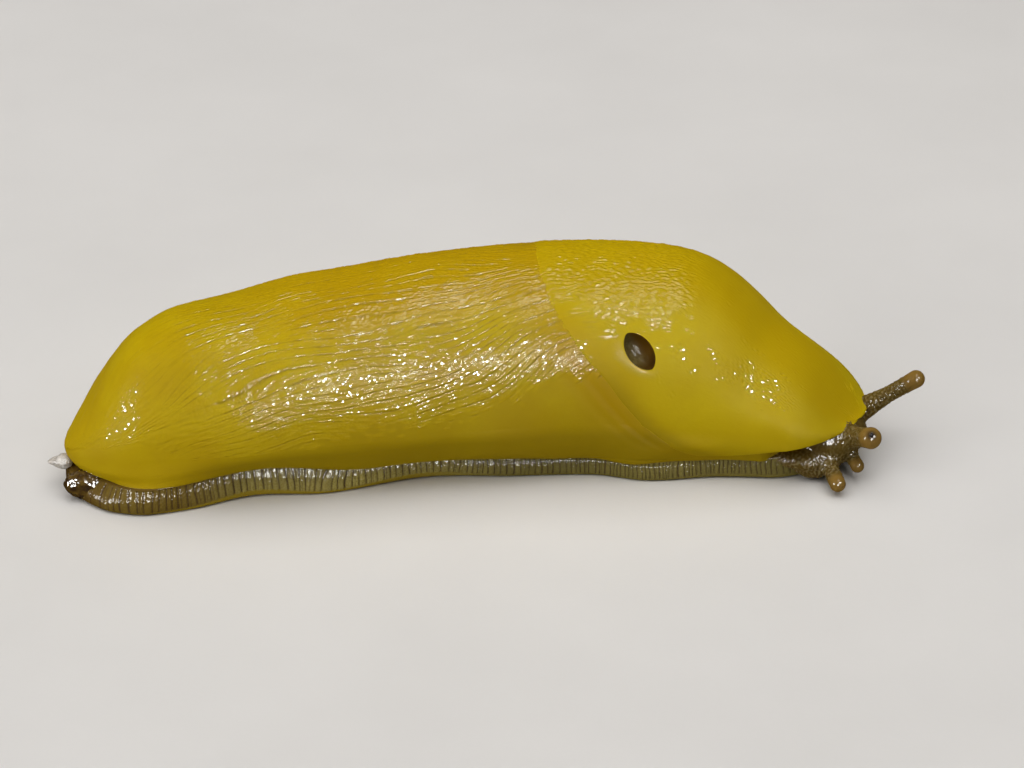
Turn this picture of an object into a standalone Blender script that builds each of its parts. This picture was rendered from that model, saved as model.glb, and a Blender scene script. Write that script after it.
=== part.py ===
"""Banana slug at rest, life size, as a still model.

The slug lies drawn up in a gentle curve, head towards +X and breathing pore on its right side, -Y.
A spine line in the plan carries every section. A station t runs along it from 0 at the tail to 1 at
the front of the mantle. Across it, p is the distance to the left of the spine and z the height.
All sizes are in millimetres, and MM turns them into metres.
"""
import math

import bmesh
import bpy
import numpy as np
from mathutils import Matrix, Vector

MM = 0.001
GAP = 0.3

# spine: arc length, start point, and heading in degrees against the station
LENGTH = 101.2
START = (-53.6, -4.0)
HEADING = [(0, 6), (0.3, 7), (0.6, 1), (0.76, -13), (0.88, -26), (1, -36)]
CENTRE = (-1.3, -1.1)

# trunk: height of the top line, half width, height of the widest line, and half width at the groove
TOP = [(0, 9.4), (0.02, 11.6), (0.05, 15.7), (0.1, 20.1), (0.15, 22.4), (0.22, 23.1), (0.3, 24.4),
       (0.45, 25.9), (0.58, 26.1), (0.68, 26), (0.75, 25.3), (0.79, 24.3), (0.82, 22.7), (0.85, 20.2),
       (0.88, 17), (0.93, 13.3), (1, 7)]
WIDE = [(0, 7), (0.08, 9), (0.16, 11), (0.3, 12.4), (0.5, 13.2), (0.7, 13.2), (0.82, 11.8),
        (0.92, 9.7), (1, 8.1)]
WIDE_HEIGHT = [(0, 6), (0.15, 8), (0.5, 9), (0.75, 8.5), (0.9, 7.5), (1, 6)]
GROOVE = [(0, 0.6), (0.01, 2.2), (0.022, 3.5), (0.033, 4.3), (0.046, 5.4), (0.058, 6.9), (0.069, 8),
          (0.086, 8.9), (0.104, 9.2), (0.13, 9.1), (0.166, 8.4), (0.2, 7.6), (0.23, 7.2), (0.31, 8.5),
          (0.42, 7.9), (0.55, 9.2), (0.64, 10), (0.72, 11.8), (0.8, 10.5), (0.9, 8.5), (1, 7.4)]
GROOVE_LEFT = [(0, 0.6), (0.01, 2.2), (0.022, 3.5), (0.033, 4.3), (0.046, 5.4), (0.058, 6.7), (0.07, 7.5),
               (0.09, 8.2), (0.12, 8.5), (0.15, 8.5), (0.3, 8.6), (0.5, 9.6), (0.64, 10.4), (0.75, 10.8),
               (0.9, 8.6), (1, 7.4)]

# ends: length of the rounded tail, nose and underside of the tail, and the heights that they close at
TAIL_CAP, NOSE_CAP, UNDER_CAP = 0.1, 0.062, 0.075
TAIL_HEIGHT, NOSE_HEIGHT = 5.5, 7.0
ROUNDNESS = 2.1

# foot: height of its upper edge, reach of the skirt's hem on each side, and lift of the hem
FOOT_TOP = [(0, 2.6), (0.1, 3.1), (0.22, 4), (0.31, 3.4), (0.43, 2.9), (0.55, 2.5), (0.75, 2.5),
            (0.88, 2.7), (0.95, 3)]
HEM = [(0, 0.5), (0.008, 3.4), (0.022, 5.8), (0.045, 8.2), (0.09, 9.8), (0.14, 9.5), (0.22, 8.2), (0.31, 9.3),
       (0.43, 8.3), (0.55, 9.7), (0.65, 10.4), (0.73, 11.9), (0.84, 9.7), (0.92, 7.6), (0.95, 6.8)]
HEM_LEFT = [(0, 0.5), (0.008, 3.4), (0.022, 5.8), (0.045, 8), (0.09, 9.4), (0.17, 9.9), (0.26, 9.3),
            (0.37, 10.4), (0.48, 10), (0.6, 11.3), (0.7, 11), (0.8, 11), (0.9, 8.4), (0.95, 6.8)]
HEM_LIFT = [(0, 0.3), (0.12, 0.3), (0.22, 1), (0.31, 0.4), (0.43, 1), (0.55, 0.4), (0.74, 0.3),
            (0.86, 0.8), (0.95, 0.7)]
FOOT_END = 0.945
RIB_SPACING = 1.7
RIB_DEPTH = 0.28
SOLE_INSET = 1.3

# skirt section: share of the way in from the hem, share of its height, bulge, and share of the dent
SKIRT = ((0, 0.25, 0, 1), (0.35, 0.6, 0.3, 1), (0.8, 0.88, 0.2, 0.7))

# edge of the sole, rounding of the hem, and how far the skirt's top stays inside the groove
SOLE_SHARE = 0.3
HEM_ROUND, HEM_UNDER = 0.25, 0.5
TOP_INSET = 0.1

# lengths that the body is divided into
TAIL_END = 0.16
BACK_END = 0.56
CORE_END = 0.955
FOOT_CUTS = (0.33, 0.655)
HALF_GAP = GAP / 2 / LENGTH

# skin: low ridges along the tail and back
RIDGES_UPPER, RIDGES_LOWER = 22, 6
RIDGE_HEIGHT = 0.22
RIDGE_EDGE = 0.62

# mantle: its rear rim by position round the body, its lower rim by station, its thickness and its step
REAR_RIM = [(0, 0.587), (0.1, 0.588), (0.15, 0.591), (0.19, 0.595), (0.23, 0.602), (0.27, 0.612),
            (0.3, 0.621), (0.34, 0.636), (0.38, 0.656), (0.42, 0.676), (0.45, 0.691), (0.475, 0.706),
            (0.5, 0.722), (0.57, 0.742), (0.64, 0.762), (0.71, 0.784), (0.8, 0.812)]
LOWER_RIM = [(0.8, 0.8), (0.84, 0.81), (0.87, 0.79), (0.9, 0.73), (0.93, 0.66), (0.97, 0.56), (1, 0.5)]
THICKNESS = 1.5
FRONT_BULGE = 0.1
STEP = 0.2
STEP_FADE = [(0.58, STEP), (0.75, STEP), (0.92, 0.05), (1, 0)]

# rim of the mantle, as distances in front of its edge and lifts off the body; the last is its full step
EDGE_ROLL = ((0.9, -2.4), (0.35, -1.3), (0, -0.45), (0.5, 0.1), (1.3, STEP))
EDGE_LIFT = -0.45

# body under the mantle: distances before and after the rim over which it sinks, and its width per turn
SINK_BEFORE, SINK_AFTER, SINK_LENGTH = 0.9, 1.1, 1.2
SIDE_WIDTH = 14.0

# breathing pore, by station and height on the right side, with its half length, half width and depth
PORE_AT, PORE_HEIGHT = 0.719, 18.0
PORE_SIZE = (2.7, 1.6, 4.0)
PORE_TILT = 50
PORE_INSIDE = -0.2

# head: direction, and its rounded masses as (centre, half length, half width, half height)
HEAD_TURN = -36
BROW = ((41.4, -8.5, 4.8), (4.3, 4.9, 3.3))
MUZZLE = ((40.3, -8.8, 2.9), (3.9, 4.7, 2.6))
LOBES = [((38.5, -11.5, 1.7), (2.4, 1.7, 1.4)), ((42.6, -6.6, 1.7), (2.3, 1.6, 1.4))]
FOREHEAD = ((44.4, -8, 4.5), (2, 3.2, 1.6))
MOUTH_AT, MOUTH_SIZE = (43.2, -11.2, 1.7), (1.1, 1.9, 0.35)

# feelers: root, tip, and radius at the root, the waist and the rounded tip
UPPER_RIGHT = ((42.6, -10, 5), (45.8, -16.4, 7.8), (1.5, 1.25, 1.42))
UPPER_LEFT = ((43.8, -4.6, 4.3), (53.4, -6.5, 11.1), (1.75, 1.05, 1.17))
LOWER_RIGHT = ((40, -9.4, 3.4), (41.3, -17.3, 1.4), (1.5, 1, 1.05))
LOWER_LEFT = ((43, -8.6, 3.6), (44.4, -13.7, 1.85), (1.2, 0.85, 0.92))
WAIST_AT = 0.6
EYE_RADIUS = 0.34
EYE_SOCKET = 0.64
EYE_SUNK = 0.75
EYE_WAY_RIGHT, EYE_WAY_LEFT = (-0.07, -0.71, 0.7), (0.7, 0.66, 0.28)

# end of the tail: hollow above the foot, and the drop of slime that it carries
PIT = ((-51.9, -5.2, 3.4), (1.6, 1.5, 1.1))
PLUG = ((-54.2, -4.6, 4), (1.6, 1.25, 1.15))

# rows of the rounded tail, and number of rows along the back
TIP_ROWS = (0.003, 0.01, 0.022, 0.04, 0.06, 0.08)
BACK_ROWS = 14

# facets: round the masses, the pit and the drop's hollow, the eyes and the drop, and round a feeler
MASS_SIDES, PIT_SIDES, FEW_SIDES, FEELER_SIDES = 24, 16, 12, 16
STALK_STEPS, TIP_STEPS = 6, 3

# facets of the mantle and the body under it: places round the body, and rows from rim to front
CORE_LOW = (2, 1.5, 1.12, 1.04, 0.98, 0.92)
CORE_SIDE, CORE_BACK, CORE_FRONT = 13, 4, 8
CORE_RIM = (-0.4, 0, 0.5)
MANTLE_SIDE, MANTLE_ROWS, MANTLE_END, MANTLE_CROWD = 18, 14, 0.985, 1.5

COLOURS = {
    "skin_yellow": ((0.52, 0.36, 0.01), 0.3),
    "mantle_yellow": ((0.52, 0.39, 0.01), 0.3),
    "skirt_grey": ((0.24, 0.2, 0.05), 0.35),
    "head_brown": ((0.15, 0.1, 0.03), 0.35),
    "eye_black": ((0.01, 0.01, 0.012), 0.1),
    "slime_white": ((0.45, 0.42, 0.36), 0.3),
}


def clear_scene():
    for item in list(bpy.data.objects):
        bpy.data.objects.remove(item)


def make_collection(name):
    group = bpy.data.collections.new(name)
    bpy.context.scene.collection.children.link(group)
    return group


def make_material(name):
    colour, roughness = COLOURS[name]
    material = bpy.data.materials.new(name)
    material.use_nodes = True
    shader = material.node_tree.nodes["Principled BSDF"]
    shader.inputs["Base Color"].default_value = (*colour, 1)
    shader.inputs["Roughness"].default_value = roughness
    shader.inputs["Metallic"].default_value = 0
    return material


def curve(points, x):
    """Smooth curve through the control points that never overshoots them."""
    at = np.array([point[0] for point in points], float)
    value = np.array([point[1] for point in points], float)
    width = np.diff(at)
    slope = np.diff(value) / width
    rate = np.zeros(len(at))
    for i in range(1, len(at) - 1):
        if slope[i - 1] * slope[i] > 0:
            before, after = 2 * width[i] + width[i - 1], width[i] + 2 * width[i - 1]
            rate[i] = (before + after) / (before / slope[i - 1] + after / slope[i])
    rate[0], rate[-1] = slope[0], slope[-1]
    x = np.clip(np.asarray(x, float), at[0], at[-1])
    i = np.clip(np.searchsorted(at, x, side="right") - 1, 0, len(width) - 1)
    u = (x - at[i]) / width[i]
    rise = (2 * u**3 - 3 * u**2 + 1) * value[i] + (3 * u**2 - 2 * u**3) * value[i + 1]
    return rise + width[i] * ((u**3 - 2 * u**2 + u) * rate[i] + (u**3 - u**2) * rate[i + 1])


def make_spine():
    """Stations, plan positions and headings along the spine."""
    t = np.linspace(0, 1, 1001)
    angle = np.radians(curve(HEADING, t))
    step = LENGTH / (len(t) - 1)
    x = START[0] + np.concatenate([[0], np.cumsum(np.cos((angle[1:] + angle[:-1]) / 2))]) * step
    y = START[1] + np.concatenate([[0], np.cumsum(np.sin((angle[1:] + angle[:-1]) / 2))]) * step
    return t, x, y, angle


SPINE = make_spine()


def place(t, p, z):
    """Point at station t, p to the left of the spine and z above the floor."""
    stations, xs, ys, angles = SPINE
    t = np.asarray(t, float)
    angle = np.interp(t, stations, angles)
    past = (t - np.clip(t, 0, 1)) * LENGTH
    x = np.interp(t, stations, xs) + past * np.cos(angle) - p * np.sin(angle)
    y = np.interp(t, stations, ys) + past * np.sin(angle) + p * np.cos(angle)
    return np.stack(np.broadcast_arrays(x, y, z + 0 * x), -1)


def rounded_end(distance, cap):
    """Share of its full size that the body has reached at a distance from a rounded end."""
    return np.sqrt(1 - (1 - np.clip(distance / cap, 0, 1)) ** 2)


def body(t, q):
    """Skin of the trunk: q runs from -1 in the right groove over 0 on top to 1 in the left groove."""
    t, q = np.broadcast_arrays(np.asarray(t, float), np.asarray(q, float))
    tail, nose = rounded_end(t, TAIL_CAP), rounded_end(1 - t, NOSE_CAP)

    def settle(height, end):
        height = TAIL_HEIGHT + (height - TAIL_HEIGHT) * end
        return NOSE_HEIGHT + (height - NOSE_HEIGHT) * nose

    top, middle = settle(curve(TOP, t), tail), settle(curve(WIDE_HEIGHT, t), tail)
    base = settle(curve(FOOT_TOP, t) + GAP, rounded_end(t, UNDER_CAP))
    wide = curve(WIDE, t) * tail * nose
    groove = np.where(q < 0, curve(GROOVE, t), curve(GROOVE_LEFT, t)) * nose
    angle = (0.5 - np.abs(q)) * math.pi
    power = 2 / ROUNDNESS
    upper = angle >= 0
    side = np.where(upper, wide * np.cos(angle * upper) ** power, groove + (wide - groove) * np.cos(angle))
    rise = np.abs(np.sin(angle)) ** np.where(upper, power, 1)
    height = np.where(upper, middle + (top - middle) * rise, middle - (middle - base) * rise)
    return place(t, np.where(q < 0, -side, side), height)


def skin(t, q, lift=0.0):
    """Point of the trunk's skin, moved out along its normal by lift."""
    t, q = np.broadcast_arrays(np.asarray(t, float), np.asarray(q, float))
    near_t = np.clip(t, 0.004, 0.996)
    near_q = np.clip(q, -0.96, 0.96)
    along = body(near_t + 0.002, near_q) - body(near_t - 0.002, near_q)
    across = body(near_t, near_q + 0.02) - body(near_t, near_q - 0.02)
    normal = np.cross(along, across)
    normal /= np.maximum(np.linalg.norm(normal, axis=-1, keepdims=True), 1e-9)
    return body(t, q) + normal * np.asarray(lift)[..., None]


def finish_mesh(name, shape, material, group):
    """Object from a closed bmesh in millimetres, with its faces pointing out and shaded smooth."""
    bmesh.ops.recalc_face_normals(shape, faces=shape.faces)
    shift = Vector((CENTRE[0], CENTRE[1], 0))
    for corner in shape.verts:
        corner.co = (corner.co - shift) * MM
    mesh = bpy.data.meshes.new(name)
    shape.to_mesh(mesh)
    shape.free()
    mesh.shade_smooth()
    item = bpy.data.objects.new(name, mesh)
    if material:
        mesh.materials.append(material)
    group.objects.link(item)
    return item


def loft(name, rings, material, group, ends=(None, None)):
    """Closed solid through rings of points, ended by a flat face or by a single end point."""
    shape = bmesh.new()
    loops = [[shape.verts.new(point) for point in ring] for ring in rings]
    count = len(loops[0])
    for first, second in zip(loops, loops[1:]):
        for i in range(count):
            j = (i + 1) % count
            shape.faces.new((first[i], first[j], second[j], second[i]))
    for loop, end in ((loops[0], ends[0]), (loops[-1], ends[1])):
        if end is None:
            shape.faces.new(loop)
        else:
            tip = shape.verts.new(end)
            for i in range(count):
                shape.faces.new((loop[i], loop[(i + 1) % count], tip))
    return finish_mesh(name, shape, material, group)


def ridged(count_upper, count_lower):
    """Positions q round the section and how far each stands out, for ridges along the body."""
    upper = np.linspace(0, 0.5, count_upper + 1)
    lower = np.linspace(0.5, 1, count_lower + 1)[1:]
    half = np.concatenate([upper, lower])
    q = np.concatenate([-half[::-1], half[1:]])
    out = RIDGE_HEIGHT * (np.arange(len(q)) % 2)
    out[np.abs(q) > RIDGE_EDGE] = 0
    return q, out


def trunk_length(name, stations, material, group, tip=None):
    """A length of the tail or back, with its ridges fading towards the tail's tip."""
    q, out = ridged(RIDGES_UPPER, RIDGES_LOWER)
    rings = []
    for t in stations:
        fade = np.clip(t / TAIL_CAP, 0, 1)
        rings.append(skin(t, q, -out * fade))
    return loft(name, rings, material, group, (tip, None))


def drop_in(distance):
    """How far the core has sunk below the skin at a distance inside the mantle's rim."""
    u = np.clip(distance / SINK_LENGTH + 0.5, 0, 1)
    return (THICKNESS + GAP) * u * u * (3 - 2 * u)


def core_rings(grow):
    """Rings of the body under the mantle, sunk below the skin inside the mantle's rim."""
    half = np.concatenate([CORE_LOW, np.linspace(0.86, 0, CORE_SIDE)])
    v = np.concatenate([-half, half[::-1][1:]])
    inside = np.minimum(np.abs(v), 1)
    rim = curve(REAR_RIM, inside * curve(LOWER_RIM, 0.8))
    start, end = BACK_END + HALF_GAP - grow / LENGTH, CORE_END + grow / LENGTH
    rows = [(0, k / CORE_BACK) for k in range(CORE_BACK + 1)]
    rows += [(1, past) for past in CORE_RIM]
    rows += [(2, k / CORE_FRONT) for k in range(CORE_FRONT + 1)]
    rings = []
    for part, share in rows:
        before, after = rim - SINK_BEFORE / LENGTH, rim + SINK_AFTER / LENGTH
        if part == 0:
            t = start + (before - start) * share
        elif part == 1:
            t = rim + share / LENGTH
        else:
            t = after + (end - after) * share
        low = curve(LOWER_RIM, t)
        q = np.sign(v) * np.where(np.abs(v) < 1, np.abs(v) * low, low + (1 - low) * (np.abs(v) - 1))
        sunk = np.minimum(drop_in((t - rim) * LENGTH), drop_in((low - np.abs(q)) * SIDE_WIDTH))
        rings.append(skin(t, q, grow - sunk))
    if grow:
        for ring in rings:
            ring[0][2] -= grow
            ring[-1][2] -= grow
    return rings


def mantle_rings(grow):
    """Rings of the mantle as a solid block, from its rear rim to its rounded front."""
    v = np.concatenate([np.linspace(-1, 0, MANTLE_SIDE), np.linspace(0, 1, MANTLE_SIDE)[1:]])
    rim = curve(REAR_RIM, np.abs(v) * curve(LOWER_RIM, 0.8))
    rings = []
    for back, lift in EDGE_ROLL:
        t = rim + (back - grow) / LENGTH
        q = v * curve(LOWER_RIM, t)
        edge = np.where(np.abs(v) > 0.99, np.minimum(lift, EDGE_LIFT), lift)
        rings.append(skin(t, q, edge + grow))
    rolled = rim + EDGE_ROLL[-1][0] / LENGTH
    for share in 1 - (1 - np.linspace(0, MANTLE_END, MANTLE_ROWS + 1)[1:]) ** MANTLE_CROWD:
        t = rolled + (1 - rolled) * share
        q = v * curve(LOWER_RIM, t)
        edge = np.where(np.abs(v) > 0.99, EDGE_LIFT, curve(STEP_FADE, t))
        rings.append(skin(t, q, edge + grow))
    return rings


def mantle_block(name, grow, material, group):
    rings = mantle_rings(grow)
    forward = Vector(place(1.001, 0, 0) - place(1, 0, 0)).normalized()
    tip = Vector(skin(0.999, 0)) + forward * (FRONT_BULGE + grow)
    return loft(name, rings, material, group, (None, tuple(tip)))


def foot_rings(start, end, grow):
    """Rings of a length of the foot, every second one pressed in between two ribs of the skirt."""
    first, last = int(start * LENGTH / RIB_SPACING * 2), int(end * LENGTH / RIB_SPACING * 2)
    middle = [k * RIB_SPACING / 2 / LENGTH for k in range(first + 1, last + 1)]
    middle = [t for t in middle if start + 0.004 < t < end - 0.004]
    stations = [(start - grow / LENGTH, 0)] + [(t, 1) for t in middle] + [(end + grow / LENGTH, 0)]
    rings = []
    for t, inner in stations:
        dent = RIB_DEPTH * inner * (round(t * LENGTH * 2 / RIB_SPACING) % 2)
        inside = np.clip(t, start, end)
        rings.append(foot_ring(t, inside, dent, grow))
    return rings


def foot_ring(t, shape_at, dent, grow):
    """Section of the foot at station t, with its sole, hem and skirt, the skirt pressed in by dent."""
    top = float(curve(FOOT_TOP, shape_at)) + grow
    lift = float(curve(HEM_LIFT, shape_at))
    halves = []
    for hem, edge in ((HEM, GROOVE), (HEM_LEFT, GROOVE_LEFT)):
        reach, groove = float(curve(hem, shape_at)), float(curve(edge, shape_at))
        sole = max(reach - SOLE_INSET, SOLE_SHARE * reach)
        outline = [(sole, -grow), (reach - HEM_ROUND + grow, lift * HEM_UNDER - grow)]
        for inward, up, bulge, pressed in SKIRT:
            p = reach + (groove - reach) * inward + bulge + grow - dent * pressed
            outline.append((p, lift + up * (top - lift)))
        outline.append((groove - TOP_INSET + grow, top))
        halves.append(outline)
    right = [(-p, z) for p, z in halves[0]]
    left = [(p, z) for p, z in reversed(halves[1])]
    return [place(t, p, z) for p, z in right + left]


def foot_length(name, start, end, grow, material, group):
    """A length of the foot, closed by a flat face at each end."""
    rings = foot_rings(start, end, grow)
    return loft(name, rings, material, group)


def ellipsoid(name, centre, size, turn, material, group, sides=MASS_SIDES, frame=None):
    """Rounded mass with its half length, half width and half height, turned about the vertical."""
    shape = bmesh.new()
    bmesh.ops.create_uvsphere(shape, u_segments=sides, v_segments=sides // 2, radius=1)
    frame = frame or Matrix.Rotation(math.radians(turn), 4, "Z")
    scale = Matrix.Diagonal((*size, 1))
    bmesh.ops.transform(shape, matrix=Matrix.Translation(centre) @ frame @ scale, verts=shape.verts)
    return finish_mesh(name, shape, material, group)


def keep_largest(item):
    """Leave only the largest connected surface of a mesh."""
    shape = bmesh.new()
    shape.from_mesh(item.data)
    bmesh.ops.remove_doubles(shape, verts=shape.verts, dist=0.000005)
    bmesh.ops.dissolve_degenerate(shape, edges=shape.edges, dist=0.000005)
    left = set(shape.verts)
    pieces = []
    while left:
        stack = [left.pop()]
        piece = set(stack)
        while stack:
            for edge in stack.pop().link_edges:
                for corner in edge.verts:
                    if corner in left:
                        left.remove(corner)
                        piece.add(corner)
                        stack.append(corner)
        pieces.append(piece)
    pieces.sort(key=len)
    for piece in pieces[:-1]:
        bmesh.ops.delete(shape, geom=list(piece), context="VERTS")
    bmesh.ops.recalc_face_normals(shape, faces=shape.faces)
    shape.to_mesh(item.data)
    shape.free()
    item.data.shade_smooth()


def apply_boolean(item, operation, tools, solver="EXACT"):
    """Join or cut an object with every object of a list, and remove those objects."""
    tool_group = bpy.data.collections.new("tools")
    for tool in tools:
        tool_group.objects.link(tool)
    modifier = item.modifiers.new(operation.lower(), "BOOLEAN")
    modifier.operand_type = "COLLECTION"
    modifier.collection = tool_group
    modifier.operation = operation
    modifier.solver = solver
    bpy.context.view_layer.update()
    graph = bpy.context.evaluated_depsgraph_get()
    mesh = bpy.data.meshes.new_from_object(item.evaluated_get(graph))
    item.modifiers.clear()
    item.data = mesh
    for tool in tools:
        bpy.data.objects.remove(tool)
    bpy.data.collections.remove(tool_group)
    keep_largest(item)


def head_masses(grow, material, group):
    """Brow, muzzle, forehead and the two lobes beside the mouth, as separate rounded masses."""
    masses = []
    for centre, size in (BROW, MUZZLE, FOREHEAD, *LOBES):
        size = tuple(value + grow for value in size)
        masses.append(ellipsoid("mass", centre, size, HEAD_TURN, material, group))
    return masses


def make_head(material, group, cutters):
    """Head: joined masses, cut clear of the mantle, body and foot, with the mouth slit."""
    masses = head_masses(0, material, group)
    head = masses[0]
    head.name = "head"
    apply_boolean(head, "UNION", masses[1:])
    mouth = ellipsoid("mouth_cut", MOUTH_AT, MOUTH_SIZE, HEAD_TURN, None, cutters)
    block = mantle_block("mantle_cut", GAP, None, cutters)
    core = loft("core_cut", core_rings(GAP), None, cutters)
    foot = foot_length("foot_cut", FOOT_CUTS[1], FOOT_END, GAP, None, cutters)
    apply_boolean(head, "DIFFERENCE", [mouth, block, core, foot])
    flatten_below(head, GAP, material)
    return head


def flatten_below(item, height, material):
    """Cut away what reaches below a height and close the cut with a flat face."""
    shape = bmesh.new()
    shape.from_mesh(item.data)
    everything = list(shape.verts) + list(shape.edges) + list(shape.faces)
    cut = bmesh.ops.bisect_plane(shape, geom=everything, plane_co=(0, 0, height * MM), plane_no=(0, 0, -1),
                                 clear_outer=True)
    edges = [part for part in cut["geom_cut"] if isinstance(part, bmesh.types.BMEdge)]
    if edges:
        bmesh.ops.holes_fill(shape, edges=edges)
    bmesh.ops.recalc_face_normals(shape, faces=shape.faces)
    shape.to_mesh(item.data)
    shape.free()


def turned(name, profile, sides, root, axis, material, group):
    """Turned solid: a profile of (distance along, radius) swept round the axis from the root."""
    mesh = bpy.data.meshes.new(name)
    corners = [(radius * MM, 0, along * MM) for along, radius in profile]
    mesh.from_pydata(corners, [(i, i + 1) for i in range(len(corners) - 1)], [])
    item = bpy.data.objects.new(name, mesh)
    group.objects.link(item)
    screw = item.modifiers.new("screw", "SCREW")
    screw.axis, screw.angle = "Z", 2 * math.pi
    screw.steps = screw.render_steps = sides
    screw.use_merge_vertices, screw.merge_threshold = True, 0.00001
    item.location = (root - Vector((CENTRE[0], CENTRE[1], 0))) * MM
    item.rotation_mode = "QUATERNION"
    item.rotation_quaternion = axis.to_track_quat("Z", "Y")
    bpy.context.view_layer.update()
    graph = bpy.context.evaluated_depsgraph_get()
    solid = bpy.data.meshes.new_from_object(item.evaluated_get(graph))
    solid.transform(item.matrix_world)
    item.modifiers.clear()
    item.data = solid
    item.location, item.rotation_quaternion = (0, 0, 0), (1, 0, 0, 0)
    keep_largest(item)
    if material:
        item.data.materials.append(material)
    return item


def feeler(name, root, tip, radii, sides, material, group):
    """Tapered feeler with a rounded tip, its radius given at the root, the waist and the tip."""
    root, tip = Vector(root), Vector(tip)
    axis = tip - root
    length, end = axis.length, radii[2]
    profile = [(0, 0), (0, radii[0])]
    for k in range(1, STALK_STEPS + 1):
        share = k / STALK_STEPS
        radius = float(curve([(0, radii[0]), (WAIST_AT, radii[1]), (1, end)], share))
        profile.append(((length - end) * share, radius))
    for k in range(1, TIP_STEPS + 1):
        angle = k * math.pi / 2 / (TIP_STEPS + 1)
        profile.append((length - end + end * math.sin(angle), end * math.cos(angle)))
    profile.append((length, 0))
    return turned(name, profile, sides, root, axis, material, group)


def make_feeler(name, spec, material, group, cutters, eye_way=None):
    """Feeler cut clear of the head and the mantle, with a socket for its eye."""
    root, tip, radii = spec
    item = feeler(name, root, tip, radii, FEELER_SIDES, material, group)
    tools = head_masses(GAP, None, cutters)
    apply_boolean(item, "DIFFERENCE", tools[:1])
    apply_boolean(item, "DIFFERENCE", tools[1:])
    apply_boolean(item, "DIFFERENCE", [mantle_block("mantle_cut", GAP, None, cutters)])
    if eye_way:
        centre = eye_centre(spec, eye_way)
        socket = ellipsoid("socket", centre, (EYE_SOCKET,) * 3, 0, None, cutters, FEW_SIDES)
        apply_boolean(item, "DIFFERENCE", [socket])
    return item


def eye_centre(spec, way):
    """Centre of the eye: just under the skin of the feeler's rounded tip, in the given direction."""
    root, tip, radii = spec
    axis = (Vector(tip) - Vector(root)).normalized()
    middle = Vector(tip) - axis * radii[2]
    return middle + Vector(way).normalized() * (radii[2] - EYE_RADIUS * EYE_SUNK)


def make_mantle(material, group, cutters):
    """Mantle: the block less the body under it, with the breathing pore through it."""
    mantle = mantle_block("mantle", 0, material, group)
    core = loft("core_cut", core_rings(GAP), None, cutters)
    apply_boolean(mantle, "DIFFERENCE", [core])
    apply_boolean(mantle, "DIFFERENCE", [pore_cutter(0, cutters)])
    return mantle


def pore_cutter(grow, cutters):
    """Almond of the breathing pore, lying in the skin with its long axis sloping down to the front."""
    side = np.linspace(-0.5, 0, 101)
    q = float(np.interp(PORE_HEIGHT, body(PORE_AT, side)[:, 2], side))
    centre = Vector(skin(PORE_AT, q))
    outward = Vector(skin(PORE_AT, q, 1.0)) - centre
    forward = Vector(body(PORE_AT + 0.01, q)) - Vector(body(PORE_AT - 0.01, q))
    forward = (forward - outward * forward.dot(outward)).normalized()
    down = outward.cross(forward)
    if down.z > 0:
        down = -down
    tilt = math.radians(PORE_TILT)
    long_axis = forward * math.cos(tilt) + down * math.sin(tilt)
    frame = Matrix((long_axis, outward.cross(long_axis), outward)).transposed().to_4x4()
    size = tuple(value + grow for value in PORE_SIZE)
    return ellipsoid("pore_cut", centre, size, 0, None, cutters, MASS_SIDES, frame)


def make_trunk(materials, group, cutters):
    """Tail, back, and the body under the mantle."""
    steps = np.concatenate([TIP_ROWS, np.linspace(TAIL_CAP, TAIL_END - HALF_GAP, 4)])
    tip = tuple(body(0, 0))
    tail = trunk_length("tail", steps, materials["skin_yellow"], group, tip)
    pit = ellipsoid("pit_cut", *PIT, 0, None, cutters, PIT_SIDES)
    around_drop = tuple(value + GAP for value in PLUG[1])
    drop = ellipsoid("drop_cut", PLUG[0], around_drop, 0, None, cutters, PIT_SIDES)
    apply_boolean(tail, "DIFFERENCE", [pit, drop])
    steps = np.linspace(TAIL_END + HALF_GAP, BACK_END - HALF_GAP, BACK_ROWS)
    trunk_length("back", steps, materials["skin_yellow"], group)
    core = loft("fore_body", core_rings(0), materials["skin_yellow"], group)
    apply_boolean(core, "DIFFERENCE", [pore_cutter(PORE_INSIDE, cutters)])


def make_foot(material, group):
    """Foot in three lengths, with the ribbed skirt along both sides."""
    cuts = [0.0, *FOOT_CUTS, FOOT_END]
    for name, start, end in zip(("foot_rear", "foot_mid", "foot_front"), cuts, cuts[1:]):
        first = start + HALF_GAP if start else 0.0
        last = end - HALF_GAP if end < FOOT_END else end
        foot_length(name, first, last, 0, material, group)


def make_feelers(materials, group, cutters):
    brown = materials["head_brown"]
    make_feeler("tentacle_upper_right", UPPER_RIGHT, brown, group, cutters, EYE_WAY_RIGHT)
    make_feeler("tentacle_upper_left", UPPER_LEFT, brown, group, cutters, EYE_WAY_LEFT)
    make_feeler("tentacle_lower_right", LOWER_RIGHT, brown, group, cutters)
    make_feeler("tentacle_lower_left", LOWER_LEFT, brown, group, cutters)
    black = materials["eye_black"]
    eyes = (("eye_right", UPPER_RIGHT, EYE_WAY_RIGHT), ("eye_left", UPPER_LEFT, EYE_WAY_LEFT))
    for name, spec, way in eyes:
        ellipsoid(name, eye_centre(spec, way), (EYE_RADIUS,) * 3, 0, black, group, FEW_SIDES)


def build():
    clear_scene()
    group = make_collection("banana_slug")
    cutters = make_collection("cutters")
    materials = {name: make_material(name) for name in COLOURS}
    make_trunk(materials, group, cutters)
    make_mantle(materials["mantle_yellow"], group, cutters)
    make_foot(materials["skirt_grey"], group)
    make_head(materials["head_brown"], group, cutters)
    make_feelers(materials, group, cutters)
    ellipsoid("slime_plug", *PLUG, 0, materials["slime_white"], group, FEW_SIDES)


build()
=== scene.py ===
import math

import bmesh
import bpy
import numpy as np
from mathutils import Matrix, Vector


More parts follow.
